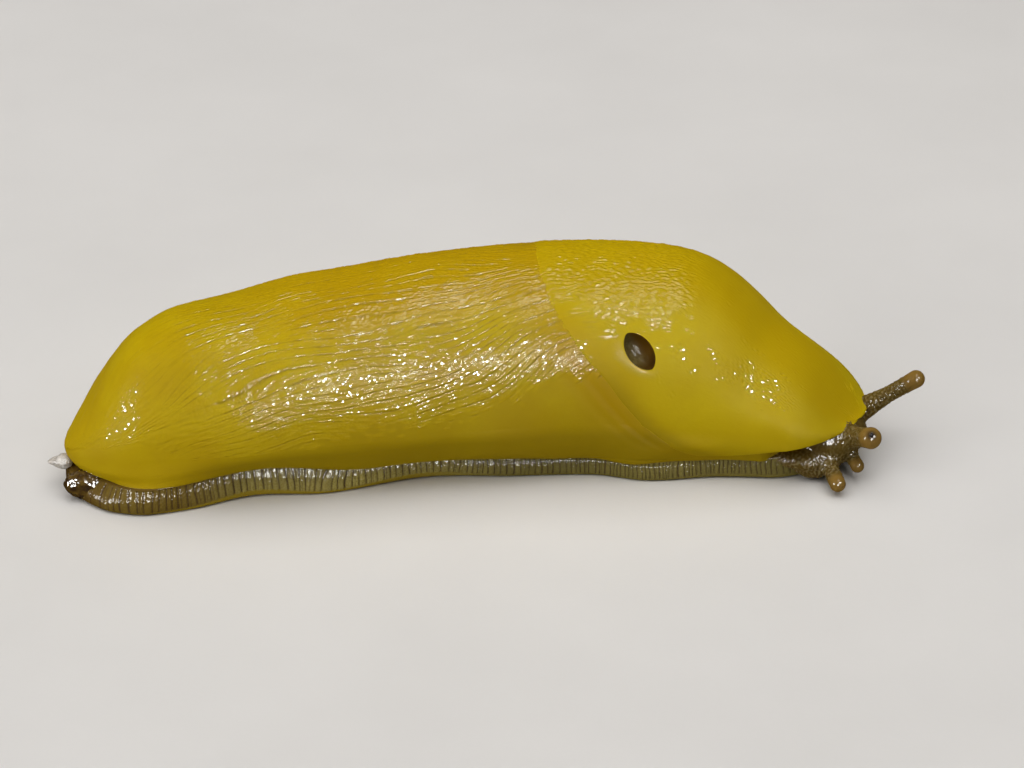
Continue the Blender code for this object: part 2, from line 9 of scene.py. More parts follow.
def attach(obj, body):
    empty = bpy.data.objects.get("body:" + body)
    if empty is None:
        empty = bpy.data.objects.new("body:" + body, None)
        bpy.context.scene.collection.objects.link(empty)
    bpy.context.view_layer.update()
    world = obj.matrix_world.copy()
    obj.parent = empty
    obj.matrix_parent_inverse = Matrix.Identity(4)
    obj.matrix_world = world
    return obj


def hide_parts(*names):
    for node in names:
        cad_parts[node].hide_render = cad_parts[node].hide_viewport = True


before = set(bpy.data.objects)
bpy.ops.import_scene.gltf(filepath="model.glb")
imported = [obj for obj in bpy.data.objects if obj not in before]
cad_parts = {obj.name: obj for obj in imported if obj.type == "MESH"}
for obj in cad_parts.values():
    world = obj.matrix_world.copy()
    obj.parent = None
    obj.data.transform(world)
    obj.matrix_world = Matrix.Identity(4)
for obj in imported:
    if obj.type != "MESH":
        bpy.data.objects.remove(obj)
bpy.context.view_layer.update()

MM = 0.001
GAP = 0.3

# the same named sizes as the solids have
LENGTH = 101.2
START = (-53.6, -4.0)
HEADING = [(0, 6), (0.3, 7), (0.6, 1), (0.76, -13), (0.88, -26), (1, -36)]
CENTRE = (-1.3, -1.1)
TOP = [(0, 9.4), (0.02, 11.6), (0.05, 15.7), (0.1, 20.1), (0.15, 22.4), (0.22, 23.1), (0.3, 24.4),
       (0.45, 25.9), (0.58, 26.1), (0.68, 26), (0.75, 25.3), (0.79, 24.3), (0.82, 22.7), (0.85, 20.2),
       (0.88, 17), (0.93, 13.3), (1, 7)]
WIDE = [(0, 7), (0.08, 9), (0.16, 11), (0.3, 12.4), (0.5, 13.2), (0.7, 13.2), (0.82, 11.8),
        (0.92, 9.7), (1, 8.1)]
WIDE_HEIGHT = [(0, 6), (0.15, 8), (0.5, 9), (0.75, 8.5), (0.9, 7.5), (1, 6)]
GROOVE = [(0, 0.6), (0.01, 2.2), (0.022, 3.5), (0.033, 4.3), (0.046, 5.4), (0.058, 6.9), (0.069, 8),
          (0.086, 8.9), (0.104, 9.2), (0.13, 9.1), (0.166, 8.4), (0.2, 7.6), (0.23, 7.2), (0.31, 8.5),
          (0.42, 7.9), (0.55, 9.2), (0.64, 10), (0.72, 11.8), (0.8, 10.5), (0.9, 8.5), (1, 7.4)]
GROOVE_LEFT = [(0, 0.6), (0.01, 2.2), (0.022, 3.5), (0.033, 4.3), (0.046, 5.4), (0.058, 6.7), (0.07, 7.5),
               (0.09, 8.2), (0.12, 8.5), (0.15, 8.5), (0.3, 8.6), (0.5, 9.6), (0.64, 10.4), (0.75, 10.8),
               (0.9, 8.6), (1, 7.4)]
TAIL_CAP, NOSE_CAP, UNDER_CAP = 0.1, 0.062, 0.075
TAIL_HEIGHT, NOSE_HEIGHT = 5.5, 7.0
ROUNDNESS = 2.1
FOOT_TOP = [(0, 2.6), (0.1, 3.1), (0.22, 4), (0.31, 3.4), (0.43, 2.9), (0.55, 2.5), (0.75, 2.5),
            (0.88, 2.7), (0.95, 3)]
HEM = [(0, 0.5), (0.008, 3.4), (0.022, 5.8), (0.045, 8.2), (0.09, 9.8), (0.14, 9.5), (0.22, 8.2), (0.31, 9.3),
       (0.43, 8.3), (0.55, 9.7), (0.65, 10.4), (0.73, 11.9), (0.84, 9.7), (0.92, 7.6), (0.95, 6.8)]
HEM_LEFT = [(0, 0.5), (0.008, 3.4), (0.022, 5.8), (0.045, 8), (0.09, 9.4), (0.17, 9.9), (0.26, 9.3),
            (0.37, 10.4), (0.48, 10), (0.6, 11.3), (0.7, 11), (0.8, 11), (0.9, 8.4), (0.95, 6.8)]
HEM_LIFT = [(0, 0.3), (0.12, 0.3), (0.22, 1), (0.31, 0.4), (0.43, 1), (0.55, 0.4), (0.74, 0.3),
            (0.86, 0.8), (0.95, 0.7)]
SOLE_INSET = 1.3
REAR_RIM = [(0, 0.587), (0.1, 0.588), (0.15, 0.591), (0.19, 0.595), (0.23, 0.602), (0.27, 0.612),
            (0.3, 0.621), (0.34, 0.636), (0.38, 0.656), (0.42, 0.676), (0.45, 0.691), (0.475, 0.706),
            (0.5, 0.722), (0.57, 0.742), (0.64, 0.762), (0.71, 0.784), (0.8, 0.812)]
LOWER_RIM = [(0.8, 0.8), (0.84, 0.81), (0.87, 0.79), (0.9, 0.73), (0.93, 0.66), (0.97, 0.56), (1, 0.5)]
RIM_SIDE = 0.8
PORE_AT, PORE_HEIGHT = 0.719, 18.0
PORE_SIZE = (2.7, 1.6, 4.0)
PORE_TILT = 50
PORE_LIP_WAY = (-0.6, 0, -0.8)
BROW = ((41.4, -8.5, 4.8), (4.3, 4.9, 3.3))
MUZZLE = ((40.3, -8.8, 2.9), (3.9, 4.7, 2.6))
LOBES = [((38.5, -11.5, 1.7), (2.4, 1.7, 1.4)), ((42.6, -6.6, 1.7), (2.3, 1.6, 1.4))]
FOREHEAD = ((43.8, -8.4, 4.3), (2.0, 3.2, 1.5))
CHEEK = ((36.6, -11.4, 2.9), (3.4, 1.9, 1.2))
HEAD_TURN = -36
MOUTH_AT, MOUTH_SIZE = (43.2, -11.2, 1.7), (1.1, 1.9, 0.35)
UPPER_RIGHT = ((42.6, -10, 5), (45.8, -16.4, 7.8), (1.5, 1.25, 1.42))
UPPER_LEFT = ((43.8, -4.6, 4.3), (53.4, -6.5, 11.1), (1.75, 1.05, 1.17))
LOWER_RIGHT = ((40, -9.4, 3.4), (41.3, -17.3, 1.4), (1.5, 1, 1.05))
LOWER_LEFT = ((43, -8.6, 3.6), (44.4, -13.7, 1.85), (1.2, 0.85, 0.92))
EYE_RADIUS = 0.34
EYE_WAY_RIGHT, EYE_WAY_LEFT = (-0.07, -0.71, 0.7), (0.7, 0.66, 0.28)
PLUG = ((-54.2, -4.6, 3.95), (1.6, 1.25, 1.15))
MUCUS = ((-51.0, -7.4, 2.1), (3.1, 1.9, 2.2))

# skin detail: spacing and height of the furrows, and length, width and height of the bumps between them
FURROW_SPACING, FURROW_DEPTH, CREST_HEIGHT = 1.1, 0.09, 0.08
LINE_SPACING, LINE_HEIGHT = 0.52, 0.035
BEAD_ALONG, BEAD_ACROSS, BEAD_HEIGHT = 0.44, 0.36, 0.06
FLECK_ALONG, FLECK_ACROSS, FLECK_HEIGHT = 0.75, 0.28, 0.12
SPARKLES = ((0.62, 0.34, 2.6, 2.0), (0.779, 0.31, 1.3, 1.2), (0.845, 0.31, 1.6, 1.6), (0.9, 0.27, 3.2, 2.6))
FLOW_ORIGIN = 0.4
EDGE_MM = 33.0
ROLL, THICK = 1.3, 0.5
RIB_SPACING, RIB_DEPTH = [(0, 0.94), (0.25, 0.94), (0.45, 0.82), (0.96, 0.78)], 0.15

# the solids that the one skin replaces
FLESH = ("tail", "back", "fore_body", "mantle", "foot_rear", "foot_mid", "foot_front", "head",
         "tentacle_upper_right", "tentacle_upper_left", "tentacle_lower_right", "tentacle_lower_left")

# colours of the skin: light, deep, olive as painted shade on the lower sides and by the rim, and ochre, the
# skin's own in places and painted shade behind the rim, in the folds and along the lower edge
YELLOWS = ((0.57, 0.41, 0.004), (0.51, 0.345, 0.003), (0.26, 0.178, 0.002), (0.50, 0.285, 0.002))
MANTLE_YELLOWS = ((0.60, 0.45, 0.004), (0.55, 0.39, 0.003), (0.30, 0.21, 0.002), (0.52, 0.335, 0.002))

# camera: angles to the left of square on and above, distance, and the point that it looks at
CAMERA_ANGLES = (-6, 28)
CAMERA_DISTANCE, CAMERA_LENS = 520, 146.25
AIM_HEIGHT, AIM_SHIFT = 11, (2.375, -1.5)

# small lamps that only show as glints: position, size and power
SPARKS = (("spark", (0.07, -0.46, 0.17), 0.18, 9.0), ("spark_low", (0.05, -0.49, 0.07), 0.08, 1.6),
          ("spark_left", (-0.45, -0.2, 0.1), 0.17, 8.0), ("spark_right", (0.28, -0.3, 0.28), 0.17, 8.0),
          ("spark_high", (0.1, -0.12, 0.47), 0.2, 2.0))

# soft bright parts of the sky: direction, cosine where each starts and is full, and strength
SKY = (((0.1, -0.5, 0.86), 0.86, 0.99, 1.4), ((-0.85, -0.15, 0.5), 0.8, 1.0, 0.8))
SKY_DARK = 0.015

# order of the materials on the skin
SKIN, MANTLE, SKIRT, HEAD, PORE, SLIME = range(6)


def curve(points, x):
    """Smooth curve through the control points that never overshoots them."""
    at = np.array([point[0] for point in points], float)
    value = np.array([point[1] for point in points], float)
    width = np.diff(at)
    slope = np.diff(value) / width
    rate = np.zeros(len(at))
    for i in range(1, len(at) - 1):
        if slope[i - 1] * slope[i] > 0:
            before, after = 2 * width[i] + width[i - 1], width[i] + 2 * width[i - 1]
            rate[i] = (before + after) / (before / slope[i - 1] + after / slope[i])
    rate[0], rate[-1] = slope[0], slope[-1]
    x = np.clip(np.asarray(x, float), at[0], at[-1])
    i = np.clip(np.searchsorted(at, x, side="right") - 1, 0, len(width) - 1)
    u = (x - at[i]) / width[i]
    rise = (2 * u**3 - 3 * u**2 + 1) * value[i] + (3 * u**2 - 2 * u**3) * value[i + 1]
    return rise + width[i] * ((u**3 - 2 * u**2 + u) * rate[i] + (u**3 - u**2) * rate[i + 1])


def smooth(low, high, x):
    """0 below low, 1 above high, and a soft step between."""
    u = np.clip((np.asarray(x, float) - low) / (high - low), 0, 1)
    return u * u * (3 - 2 * u)


def make_spine():
    """Stations along the spine, with their places in the plan and headings."""
    t = np.linspace(0, 1, 1001)
    angle = np.radians(curve(HEADING, t))
    step = LENGTH / (len(t) - 1)
    x = START[0] + np.concatenate([[0], np.cumsum(np.cos((angle[1:] + angle[:-1]) / 2))]) * step
    y = START[1] + np.concatenate([[0], np.cumsum(np.sin((angle[1:] + angle[:-1]) / 2))]) * step
    return t, x, y, angle


SPINE = make_spine()


def place(t, p, z):
    """Point at station t, p to the left of the spine and z above the floor."""
    stations, xs, ys, angles = SPINE
    t = np.asarray(t, float)
    angle = np.interp(t, stations, angles)
    past = (t - np.clip(t, 0, 1)) * LENGTH
    x = np.interp(t, stations, xs) + past * np.cos(angle) - p * np.sin(angle)
    y = np.interp(t, stations, ys) + past * np.sin(angle) + p * np.cos(angle)
    return np.stack(np.broadcast_arrays(x, y, z + 0 * x), -1)


def under_side(t):
    """Height of the trunk's lower edge, which lifts a little at the tip of the tail."""
    tail = np.sqrt(1 - (1 - np.clip(t / UNDER_CAP, 0, 1)) ** 2)
    nose = np.sqrt(1 - (1 - np.clip((1 - t) / NOSE_CAP, 0, 1)) ** 2)
    base = TAIL_HEIGHT + (curve(FOOT_TOP, t) + GAP - TAIL_HEIGHT) * tail
    return NOSE_HEIGHT + (base - NOSE_HEIGHT) * nose


def body(t, q):
    """Skin of the trunk at station t and position q round it."""
    t, q = np.broadcast_arrays(np.asarray(t, float), np.asarray(q, float))
    tail = np.sqrt(1 - (1 - np.clip(t / TAIL_CAP, 0, 1)) ** 2)
    nose = np.sqrt(1 - (1 - np.clip((1 - t) / NOSE_CAP, 0, 1)) ** 2)

    def settle(height):
        height = TAIL_HEIGHT + (height - TAIL_HEIGHT) * tail
        return NOSE_HEIGHT + (height - NOSE_HEIGHT) * nose

    top, middle = settle(curve(TOP, t)), settle(curve(WIDE_HEIGHT, t))
    base = under_side(t)
    wide = curve(WIDE, t) * tail * nose
    groove = np.where(q < 0, curve(GROOVE, t), curve(GROOVE_LEFT, t)) * nose
    angle = (0.5 - np.abs(q)) * math.pi
    power = 2 / ROUNDNESS
    upper = angle >= 0
    side = np.where(upper, wide * np.cos(angle * upper) ** power, groove + (wide - groove) * np.cos(angle))
    rise = np.abs(np.sin(angle)) ** np.where(upper, power, 1)
    height = np.where(upper, middle + (top - middle) * rise, middle - (middle - base) * rise)
    return place(t, np.where(q < 0, -side, side), height)


def skin_normal(t, q):
    """Outward direction of the trunk's skin."""
    near_t = np.clip(t, 0.004, 0.996)
    near_q = np.clip(q, -0.96, 0.96)
    along = body(near_t + 0.002, near_q) - body(near_t - 0.002, near_q)
    across = body(near_t, near_q + 0.02) - body(near_t, near_q - 0.02)
    normal = np.cross(along, across)
    return normal / np.maximum(np.linalg.norm(normal, axis=-1, keepdims=True), 1e-9)


def skin(t, q, lift):
    """Point of the trunk's skin, moved out along its normal by lift."""
    t, q = np.broadcast_arrays(np.asarray(t, float), np.asarray(q, float))
    return body(t, q) + skin_normal(t, q) * np.asarray(lift)[..., None]


def stations(start, end, step):
    """Stations an even distance apart on the skin, and that distance along it."""
    t = np.linspace(start, end, 4001)
    length = np.zeros(len(t))
    for q in (0, 0.45, -0.45):
        length[1:] += np.cumsum(np.linalg.norm(np.diff(body(t, q), axis=0), axis=1)) / 3
    s = np.linspace(0, length[-1], int(length[-1] / step) + 1)
    return np.interp(s, length, t), s


# Noise, made by filtering seeded random numbers on a square that repeats.
CELLS, CELL = 1024, 0.08


def spectrum(seed):
    """Spectrum of seeded random numbers, and the frequencies along and across."""
    random = np.random.default_rng(seed)
    values = np.fft.fft2(random.standard_normal((CELLS, CELLS)))
    frequency = np.fft.fftfreq(CELLS, CELL)
    along, across = np.meshgrid(frequency, frequency, indexing="ij")
    return values, along, across


def grains(seed, along_mm, across_mm, band=0.3):
    """Bumps of about one size, longer along than across."""
    values, along, across = spectrum(seed)
    radius = np.hypot(along * along_mm, across * across_mm)
    field = np.fft.ifft2(values * np.exp(-((radius - 1) / band) ** 2)).real
    return field / field.std()


def clouds(seed, along_mm, across_mm):
    """Soft variation at and above one size."""
    values, along, across = spectrum(seed)
    radius = np.hypot(along * along_mm, across * across_mm)
    field = np.fft.ifft2(values * np.exp(-radius**2)).real
    return field / field.std()


def stripes(seed, spacing, length, scatter):
    """Wavy lines along the body that fork and join, as a complex field whose angle is their phase."""
    values, along, across = spectrum(seed)
    keep = np.exp(-(along * length) ** 2 - ((across - 1 / spacing) / scatter) ** 2)
    field = np.fft.ifft2(values * keep)
    return field / np.abs(field).mean()


def tubercles(seed, along_mm, across_mm):
    """Rounded bumps of uneven size packed side by side, with narrow gaps between, on the same square."""
    random = np.random.default_rng(seed)
    size = CELLS * CELL
    rows, columns = int(size / along_mm), int(size / across_mm)
    x, y = np.meshgrid(np.arange(rows), np.arange(columns), indexing="ij")
    x = x + 0.5 * (y % 2) + random.uniform(-0.38, 0.38, x.shape)
    y = y + random.uniform(-0.34, 0.34, y.shape)
    at = (np.arange(CELLS) + 0.5) * CELL
    bend = clouds(seed + 1, 1.2, 1.0), clouds(seed + 2, 1.2, 1.0)
    u = at[:, None] / size * rows + 0.16 * bend[0]
    v = at[None, :] / size * columns + 0.16 * bend[1]
    first, second = np.full(u.shape, 9.0), np.full(u.shape, 9.0)
    i, j = np.floor(u).astype(int), np.floor(v).astype(int)
    for di in (-2, -1, 0, 1):
        for dj in (-1, 0, 1, 2):
            near = x[(i + di) % rows, (j + dj) % columns] - (i + di) % rows + i + di
            beside = y[(i + di) % rows, (j + dj) % columns] - (j + dj) % columns + j + dj
            gap = np.hypot(near - u, beside - v)
            second = np.minimum(second, np.maximum(gap, first))
            first = np.minimum(first, gap)
    return np.clip(1 - (first**2 * 1.6) ** 2, 0, 1), np.clip((second - first) * 4, 0, 1)


def sample(field, s, w):
    """Value of a field at distances s along and w round the body, in millimetres."""
    x, y = np.asarray(s) / CELL, np.asarray(w) / CELL
    i, j = np.floor(x).astype(int), np.floor(y).astype(int)
    u, v = x - i, y - j
    i, j, k, l = i % CELLS, j % CELLS, (i + 1) % CELLS, (j + 1) % CELLS
    near = field[i, j] * (1 - v) + field[i, l] * v
    far = field[k, j] * (1 - v) + field[k, l] * v
    return near * (1 - u) + far * u


def waves(seed, spacing, count=160):
    """Directions and phases of plane waves that add up to round bumps in space."""
    random = np.random.default_rng(seed)
    way = random.standard_normal((count, 3))
    way /= np.linalg.norm(way, axis=1, keepdims=True)
    size = spacing * random.uniform(0.85, 1.2, (count, 1))
    return way * 2 * math.pi / size, random.uniform(0, 2 * math.pi, count)


def bumps(wave, points):
    """Height of the bumps at points in space."""
    ways, phases = wave
    total = np.zeros(len(points))
    for way, phase in zip(ways, phases):
        total += np.cos(points @ way + phase)
    return total / math.sqrt(len(phases) / 2)


# Shells: closed surfaces in millimetres with a value at each point for the colours.
def tube(points, values, paint):
    """Closed surface through rings of points, with a fan of triangles over each end."""
    rows, count = points.shape[:2]
    index = np.arange(rows * count).reshape(rows, count)
    beside = np.roll(index, -1, axis=1)
    quads = np.stack([index[:-1], index[1:], beside[1:], beside[:-1]], -1).reshape(-1, 4)
    first, last = rows * count, rows * count + 1
    start = np.stack([np.full(count, first), index[0], beside[0]], -1)
    end = np.stack([np.full(count, last), beside[-1], index[-1]], -1)
    middle = np.stack([points[0].mean(0), points[-1].mean(0)])
    flat = {name: np.concatenate([value.reshape(-1), [value[0].mean(), value[-1].mean()]])
            for name, value in values.items()}
    return {"points": np.concatenate([points.reshape(-1, 3), middle]), "quads": quads,
            "triangles": np.concatenate([start, end]), "values": flat, "paint": paint}


def shell_object(name, shell, materials):
    """Object with the shell's points, faces, values and material."""
    mesh = bpy.data.meshes.new(name)
    for material in materials:
        mesh.materials.append(material)
    points = (shell["points"] - (CENTRE[0], CENTRE[1], 0)) * MM
    quads, triangles = shell["quads"], shell["triangles"]
    mesh.vertices.add(len(points))
    mesh.vertices.foreach_set("co", points.astype(np.float32).ravel())
    loops = np.concatenate([quads.ravel(), triangles.ravel()]).astype(np.int32)
    mesh.loops.add(len(loops))
    mesh.loops.foreach_set("vertex_index", loops)
    starts = np.concatenate([np.arange(len(quads)) * 4, len(quads) * 4 + np.arange(len(triangles)) * 3])
    mesh.polygons.add(len(starts))
    mesh.polygons.foreach_set("loop_start", starts.astype(np.int32))
    mesh.update(calc_edges=True)
    mesh.polygons.foreach_set("material_index", np.full(len(starts), shell["paint"], np.int32))
    for name_of, value in shell["values"].items():
        mesh.attributes.new(name_of, "FLOAT", "POINT").data.foreach_set("value", value.astype(np.float32))
    mesh.validate()
    item = bpy.data.objects.new(name, mesh)
    bpy.context.scene.collection.objects.link(item)
    return item


VALUES = ("furrow", "shade", "warm", "mark", "gloss", "along", "around", "level", "dots")


def values_like(t, **given):
    """All the values that the materials read, 0 where none is given."""
    return {name: np.asarray(given.get(name, 0.0)) + np.zeros(t.shape) for name in VALUES}


# how fast the furrows turn down towards the tail and up towards the mantle
FLOW = [(0, 9), (0.1, 7.5), (0.16, 5.5), (0.2, 3), (0.24, 1.2), (0.3, 0.5), (0.4, 0.1), (0.44, 0.8),
        (0.48, 2.2), (0.53, 3.8), (0.57, 3.2), (0.62, 1.5), (0.8, 1)]


def round_length(q):
    """Length of skin from the top line round to position q, in millimetres, at the middle of the back."""
    grid = np.linspace(0, 1, 201)
    steps = np.linalg.norm(np.diff(body(FLOW_ORIGIN, grid), axis=0), axis=1)
    length = np.concatenate([[0], np.cumsum(steps)])
    return np.sign(q) * (np.interp(np.abs(q), grid, length) + np.maximum(np.abs(q) - 1, 0) * length[-1])


def line_of(t, q):
    """Position round the body in millimetres, measured along the furrows."""
    station = np.linspace(0, 1, 501)
    turn = np.cumsum(curve(FLOW, station)) * station[1]
    turn = np.interp(t, station, turn - np.interp(FLOW_ORIGIN, station, turn))
    return round_length(q * np.exp(turn * (1 - 0.68 * smooth(0.24, 0.5, np.abs(q)))))


def layered(field, s, w, level):
    """A pattern at two neighbouring scales, so that its spacing stays even where the furrows spread."""
    low = np.floor(level).astype(int)
    share = smooth(0.3, 0.7, level - low)
    total = np.zeros(s.shape)
    for k in range(low.min(), low.max() + 2):
        weight = np.where(low == k, 1 - share, 0) + np.where(low + 1 == k, share, 0)
        total += weight * sample(field, s + 17.3 * k, w * 2.0**k)
    return total


def rear_rim(q):
    """Station of the mantle's rear rim by position round the body."""
    return curve(REAR_RIM, np.minimum(np.abs(q), RIM_SIDE))


def behind_rim(t, q):
    """Distance behind the mantle's rear rim in millimetres."""
    return (rear_rim(q) - t) * LENGTH


def swell(t, q):
    """Slow unevenness of the whole body."""
    hills = sample(clouds(21, 14, 9), t * LENGTH, q * EDGE_MM)
    return 0.13 * hills * smooth(0.0, 0.08, t) * (1 - smooth(0.94, 1, t))


EDGE_OF_GRAIN = [(0, 0.35), (0.1, 0.47), (0.19, 0.515), (0.28, 0.5), (0.36, 0.475), (0.48, 0.457),
                 (0.54, 0.43), (0.6, 0.392), (0.8, 0.36)]


def furrows(seed, spacing, length, scatter):
    """Long ridges that fork and fade, and the narrow cut below each of them."""
    field = stripes(seed, spacing, length, scatter)
    phase, strength = np.angle(field), np.clip(np.abs(field) * 1.2 - 0.1, 0, 1)
    strength = strength * (0.45 + 0.55 * smooth(-0.6, 0.8, clouds(seed + 50, 1.6, 0.8)))
    return np.exp(-((phase - 0.5) / 0.65) ** 2) * strength, np.exp(-((phase + 0.6) / 0.5) ** 2) * strength


def trunk_relief(t, q, s, w, level):
    """Height of the furrows and tubercles on the back and tail, and the painted shade of each point in a
    furrow or between the bumps.
    """
    bend = 0.35 * sample(clouds(3, 14, 7), s, w) + 0.03 * sample(clouds(4, 2.5, 1.5), s, w)
    w = w + bend * 2.0**-level
    crest, cut = (layered(field, s, w, level) for field in furrows(5, FURROW_SPACING, 18, 0.2))
    ridge, slot = (layered(field, s, w, level) for field in furrows(6, LINE_SPACING, 5, 0.5))
    dome, between = (layered(field, s, w, level) for field in tubercles(11, BEAD_ALONG, BEAD_ACROSS))
    fleck, beside = (layered(field, s, w, level) for field in tubercles(14, FLECK_ALONG, FLECK_ACROSS))
    coarse = sample(grains(12, 2.2, 1.0), s, w)
    patch = np.clip(0.85 + 0.3 * sample(clouds(17, 4, 2.5), s, w), 0.3, 1.4)
    reach = curve(EDGE_OF_GRAIN, t)
    ragged = 0.012 * sample(clouds(18, 1.6, 1.0), s, w)
    upper = 1 - smooth(reach - 0.012, reach + 0.014, np.abs(q) + ragged)
    beads = smooth(0.12, 0.3, np.abs(q)) * (0.6 + 0.4 * smooth(0, 0.07, t))
    lined = smooth(0.03, 0.2, t)
    ridges = lined * (1 - 0.55 * beads)
    height = ridges * (CREST_HEIGHT * crest - FURROW_DEPTH * cut + LINE_HEIGHT * (ridge - slot))
    height = height + 0.012 * coarse
    height = height + BEAD_HEIGHT * (dome - 0.6) * between * patch * beads
    height = height + FLECK_HEIGHT * (fleck - 0.6) * beside * (1 - 0.75 * beads) * lined
    height = height * upper + 0.004 * (dome - 0.5) * (1 - upper)
    # painted shade: darker in the cuts of the furrows and in the gaps between the tubercles
    lines = (cut + 0.4 * slot) * lined + 0.2 * (1 - between) * patch * beads * smooth(0.05, 0.15, t)
    lines = lines + 0.3 * (1 - beside) * (1 - beads) * lined
    tops = smooth(0.3, 0.9, dome) * between * beads
    tops = np.maximum(tops, smooth(0.3, 0.9, fleck) * beside * (1 - beads))
    shine = np.clip(0.1 + np.maximum(tops, crest * ridges), 0, 1) * patch
    shine = np.clip(shine * (1 - 0.85 * beads), 0, 1) * upper * lined
    return height, np.clip(lines, 0, 1) * upper, upper, shine, beads * upper


def sunk(t, q):
    """How far the body is drawn in where the mantle covers it, and at the neck."""
    below = (curve(LOWER_RIM, t) - np.abs(q)) * EDGE_MM
    covered = 1.9 * smooth(0.3, 1.3, -behind_rim(t, q)) * smooth(0.1, 1.0, below)
    return np.maximum(covered, 4.4 * smooth(0.9, 0.95, t))


def trunk_grid():
    """Stations, their distances along the skin and positions round it, closest where the relief is."""
    t, s = stations(0.0, 0.955, 0.125)
    keep = (t < 0.82) | (np.arange(len(t)) % 2 == 0)
    t, s = t[keep], s[keep]
    grid = np.linspace(0, 0.56, 201)
    fine = np.interp(np.arange(0, round_length(0.56), 0.075), round_length(grid), grid)
    half = np.concatenate([fine, np.linspace(0.565, 1, 60)])
    return t, s, np.concatenate([-half[::-1], half[1:]])


def trunk_tints(T, Q, behind, upper, folds):
    """Share of olive painted shade on the lower flank, and of ochre: the back's own along its top, and
    painted shade behind the mantle's rim, in the folds and along the lower edge.
    """
    # painted shade: olive on the lower flank, which faces down, and below the edge of the grain
    low = smooth(0.4, 0.7, np.abs(Q)) * smooth(0.08, 0.2, T) + 0.3 * (1 - upper) * smooth(0.16, 0.3, T)
    # painted shade: ochre behind the mantle's rim and in the folds
    ochre = 1.3 * np.exp(-(behind / 4) ** 2) * smooth(0.12, 0.4, np.abs(Q)) + folds * 2
    # the back's own ochre along its top
    ochre = ochre + 0.9 * (1 - smooth(0.12, 0.26, np.abs(Q))) * smooth(0.18, 0.34, T)
    # painted shade: ochre along the lower edge, where the trunk meets the fringe
    ochre = ochre + smooth(0.9, 0.99, np.abs(Q)) * 1.2
    return np.clip(low, 0, 1), np.clip(ochre, 0, 1)


def make_trunk():
    """Tail, back and the body below the mantle."""
    t, s, q = trunk_grid()
    T, Q = np.meshgrid(t, q, indexing="ij")
    S = np.broadcast_to(s[:, None], T.shape)
    W = line_of(T, Q)
    spread = np.linalg.norm(np.gradient(body(T, Q), axis=1), axis=-1)
    level = np.clip(np.log2(spread / np.maximum(np.abs(np.gradient(W, axis=1)), 1e-6)), -4, 3)
    height, cut, upper, shine, dots = trunk_relief(T, Q, S, W, level)
    behind = behind_rim(T, Q)
    flank = smooth(0.3, 0.42, np.abs(Q)) * (1 - smooth(0.6, 0.75, np.abs(Q)))
    folds = sum(deep * np.exp(-((behind - at) / wide) ** 2) for deep, at, wide in
                ((0.12, 2.2, 0.9), (0.1, 4.8, 1.3), (0.05, 7.6, 1.5))) * flank
    seam = np.exp(-((np.abs(Q) - 0.86) / 0.018) ** 2) * smooth(0.36, 0.44, T) * (1 - smooth(0.74, 0.82, T))
    height = height - folds - 0.09 * seam
    points = skin(T, Q, height + swell(T, Q) - sunk(T, Q))
    tail = np.sqrt(1 - (1 - np.clip(t / UNDER_CAP, 0, 1)) ** 2)
    inner = 0.8 - 0.5 * smooth(0.9, 0.95, t)
    left = place(t, curve(GROOVE_LEFT, t) * inner, under_side(t) - 1.2 * tail**2)
    right = place(t, -curve(GROOVE, t) * inner, under_side(t) - 1.2 * tail**2)
    points = np.concatenate([points, left[:, None], right[:, None]], 1)
    # the olive and ochre shares are partly painted shade, and the furrow value is painted shade in the
    # furrows and gaps
    shade, warm = trunk_tints(T, Q, behind, upper, folds)
    values = values_like(T, furrow=cut, shade=shade, warm=warm, along=S, around=W, level=level, gloss=shine,
                         dots=dots)
    values = {name: np.concatenate([value, value[:, -1:], value[:, :1]], 1) for name, value in values.items()}
    return tube(points, values, SKIN)


def pore_frame():
    """Centre of the breathing pore, and its long, short and outward directions."""
    side = np.linspace(-0.5, 0, 101)
    q = float(np.interp(PORE_HEIGHT, body(PORE_AT, side)[:, 2], side))
    centre = body(PORE_AT, q)
    outward = skin_normal(PORE_AT, q)
    forward = body(PORE_AT + 0.01, q) - body(PORE_AT - 0.01, q)
    forward = forward - outward * (forward @ outward)
    forward /= np.linalg.norm(forward)
    down = np.cross(outward, forward)
    down *= -np.sign(down[2])
    tilt = math.radians(PORE_TILT)
    long_way = forward * math.cos(tilt) + down * math.sin(tilt)
    return centre, long_way, np.cross(outward, long_way), outward


def almond(along, across):
    """Distance from the pore's centre, 1 on its almond-shaped edge."""
    along, across = along / PORE_SIZE[0], across / PORE_SIZE[1]
    return np.sqrt(along**2 + np.abs(across) ** 1.6 + 1e-9)


EDGE_OF_CRUMPLE = [(0.58, 0.17), (0.62, 0.2), (0.68, 0.25), (0.74, 0.25), (0.79, 0.21), (0.83, 0.12),
                   (1, 0.08)]


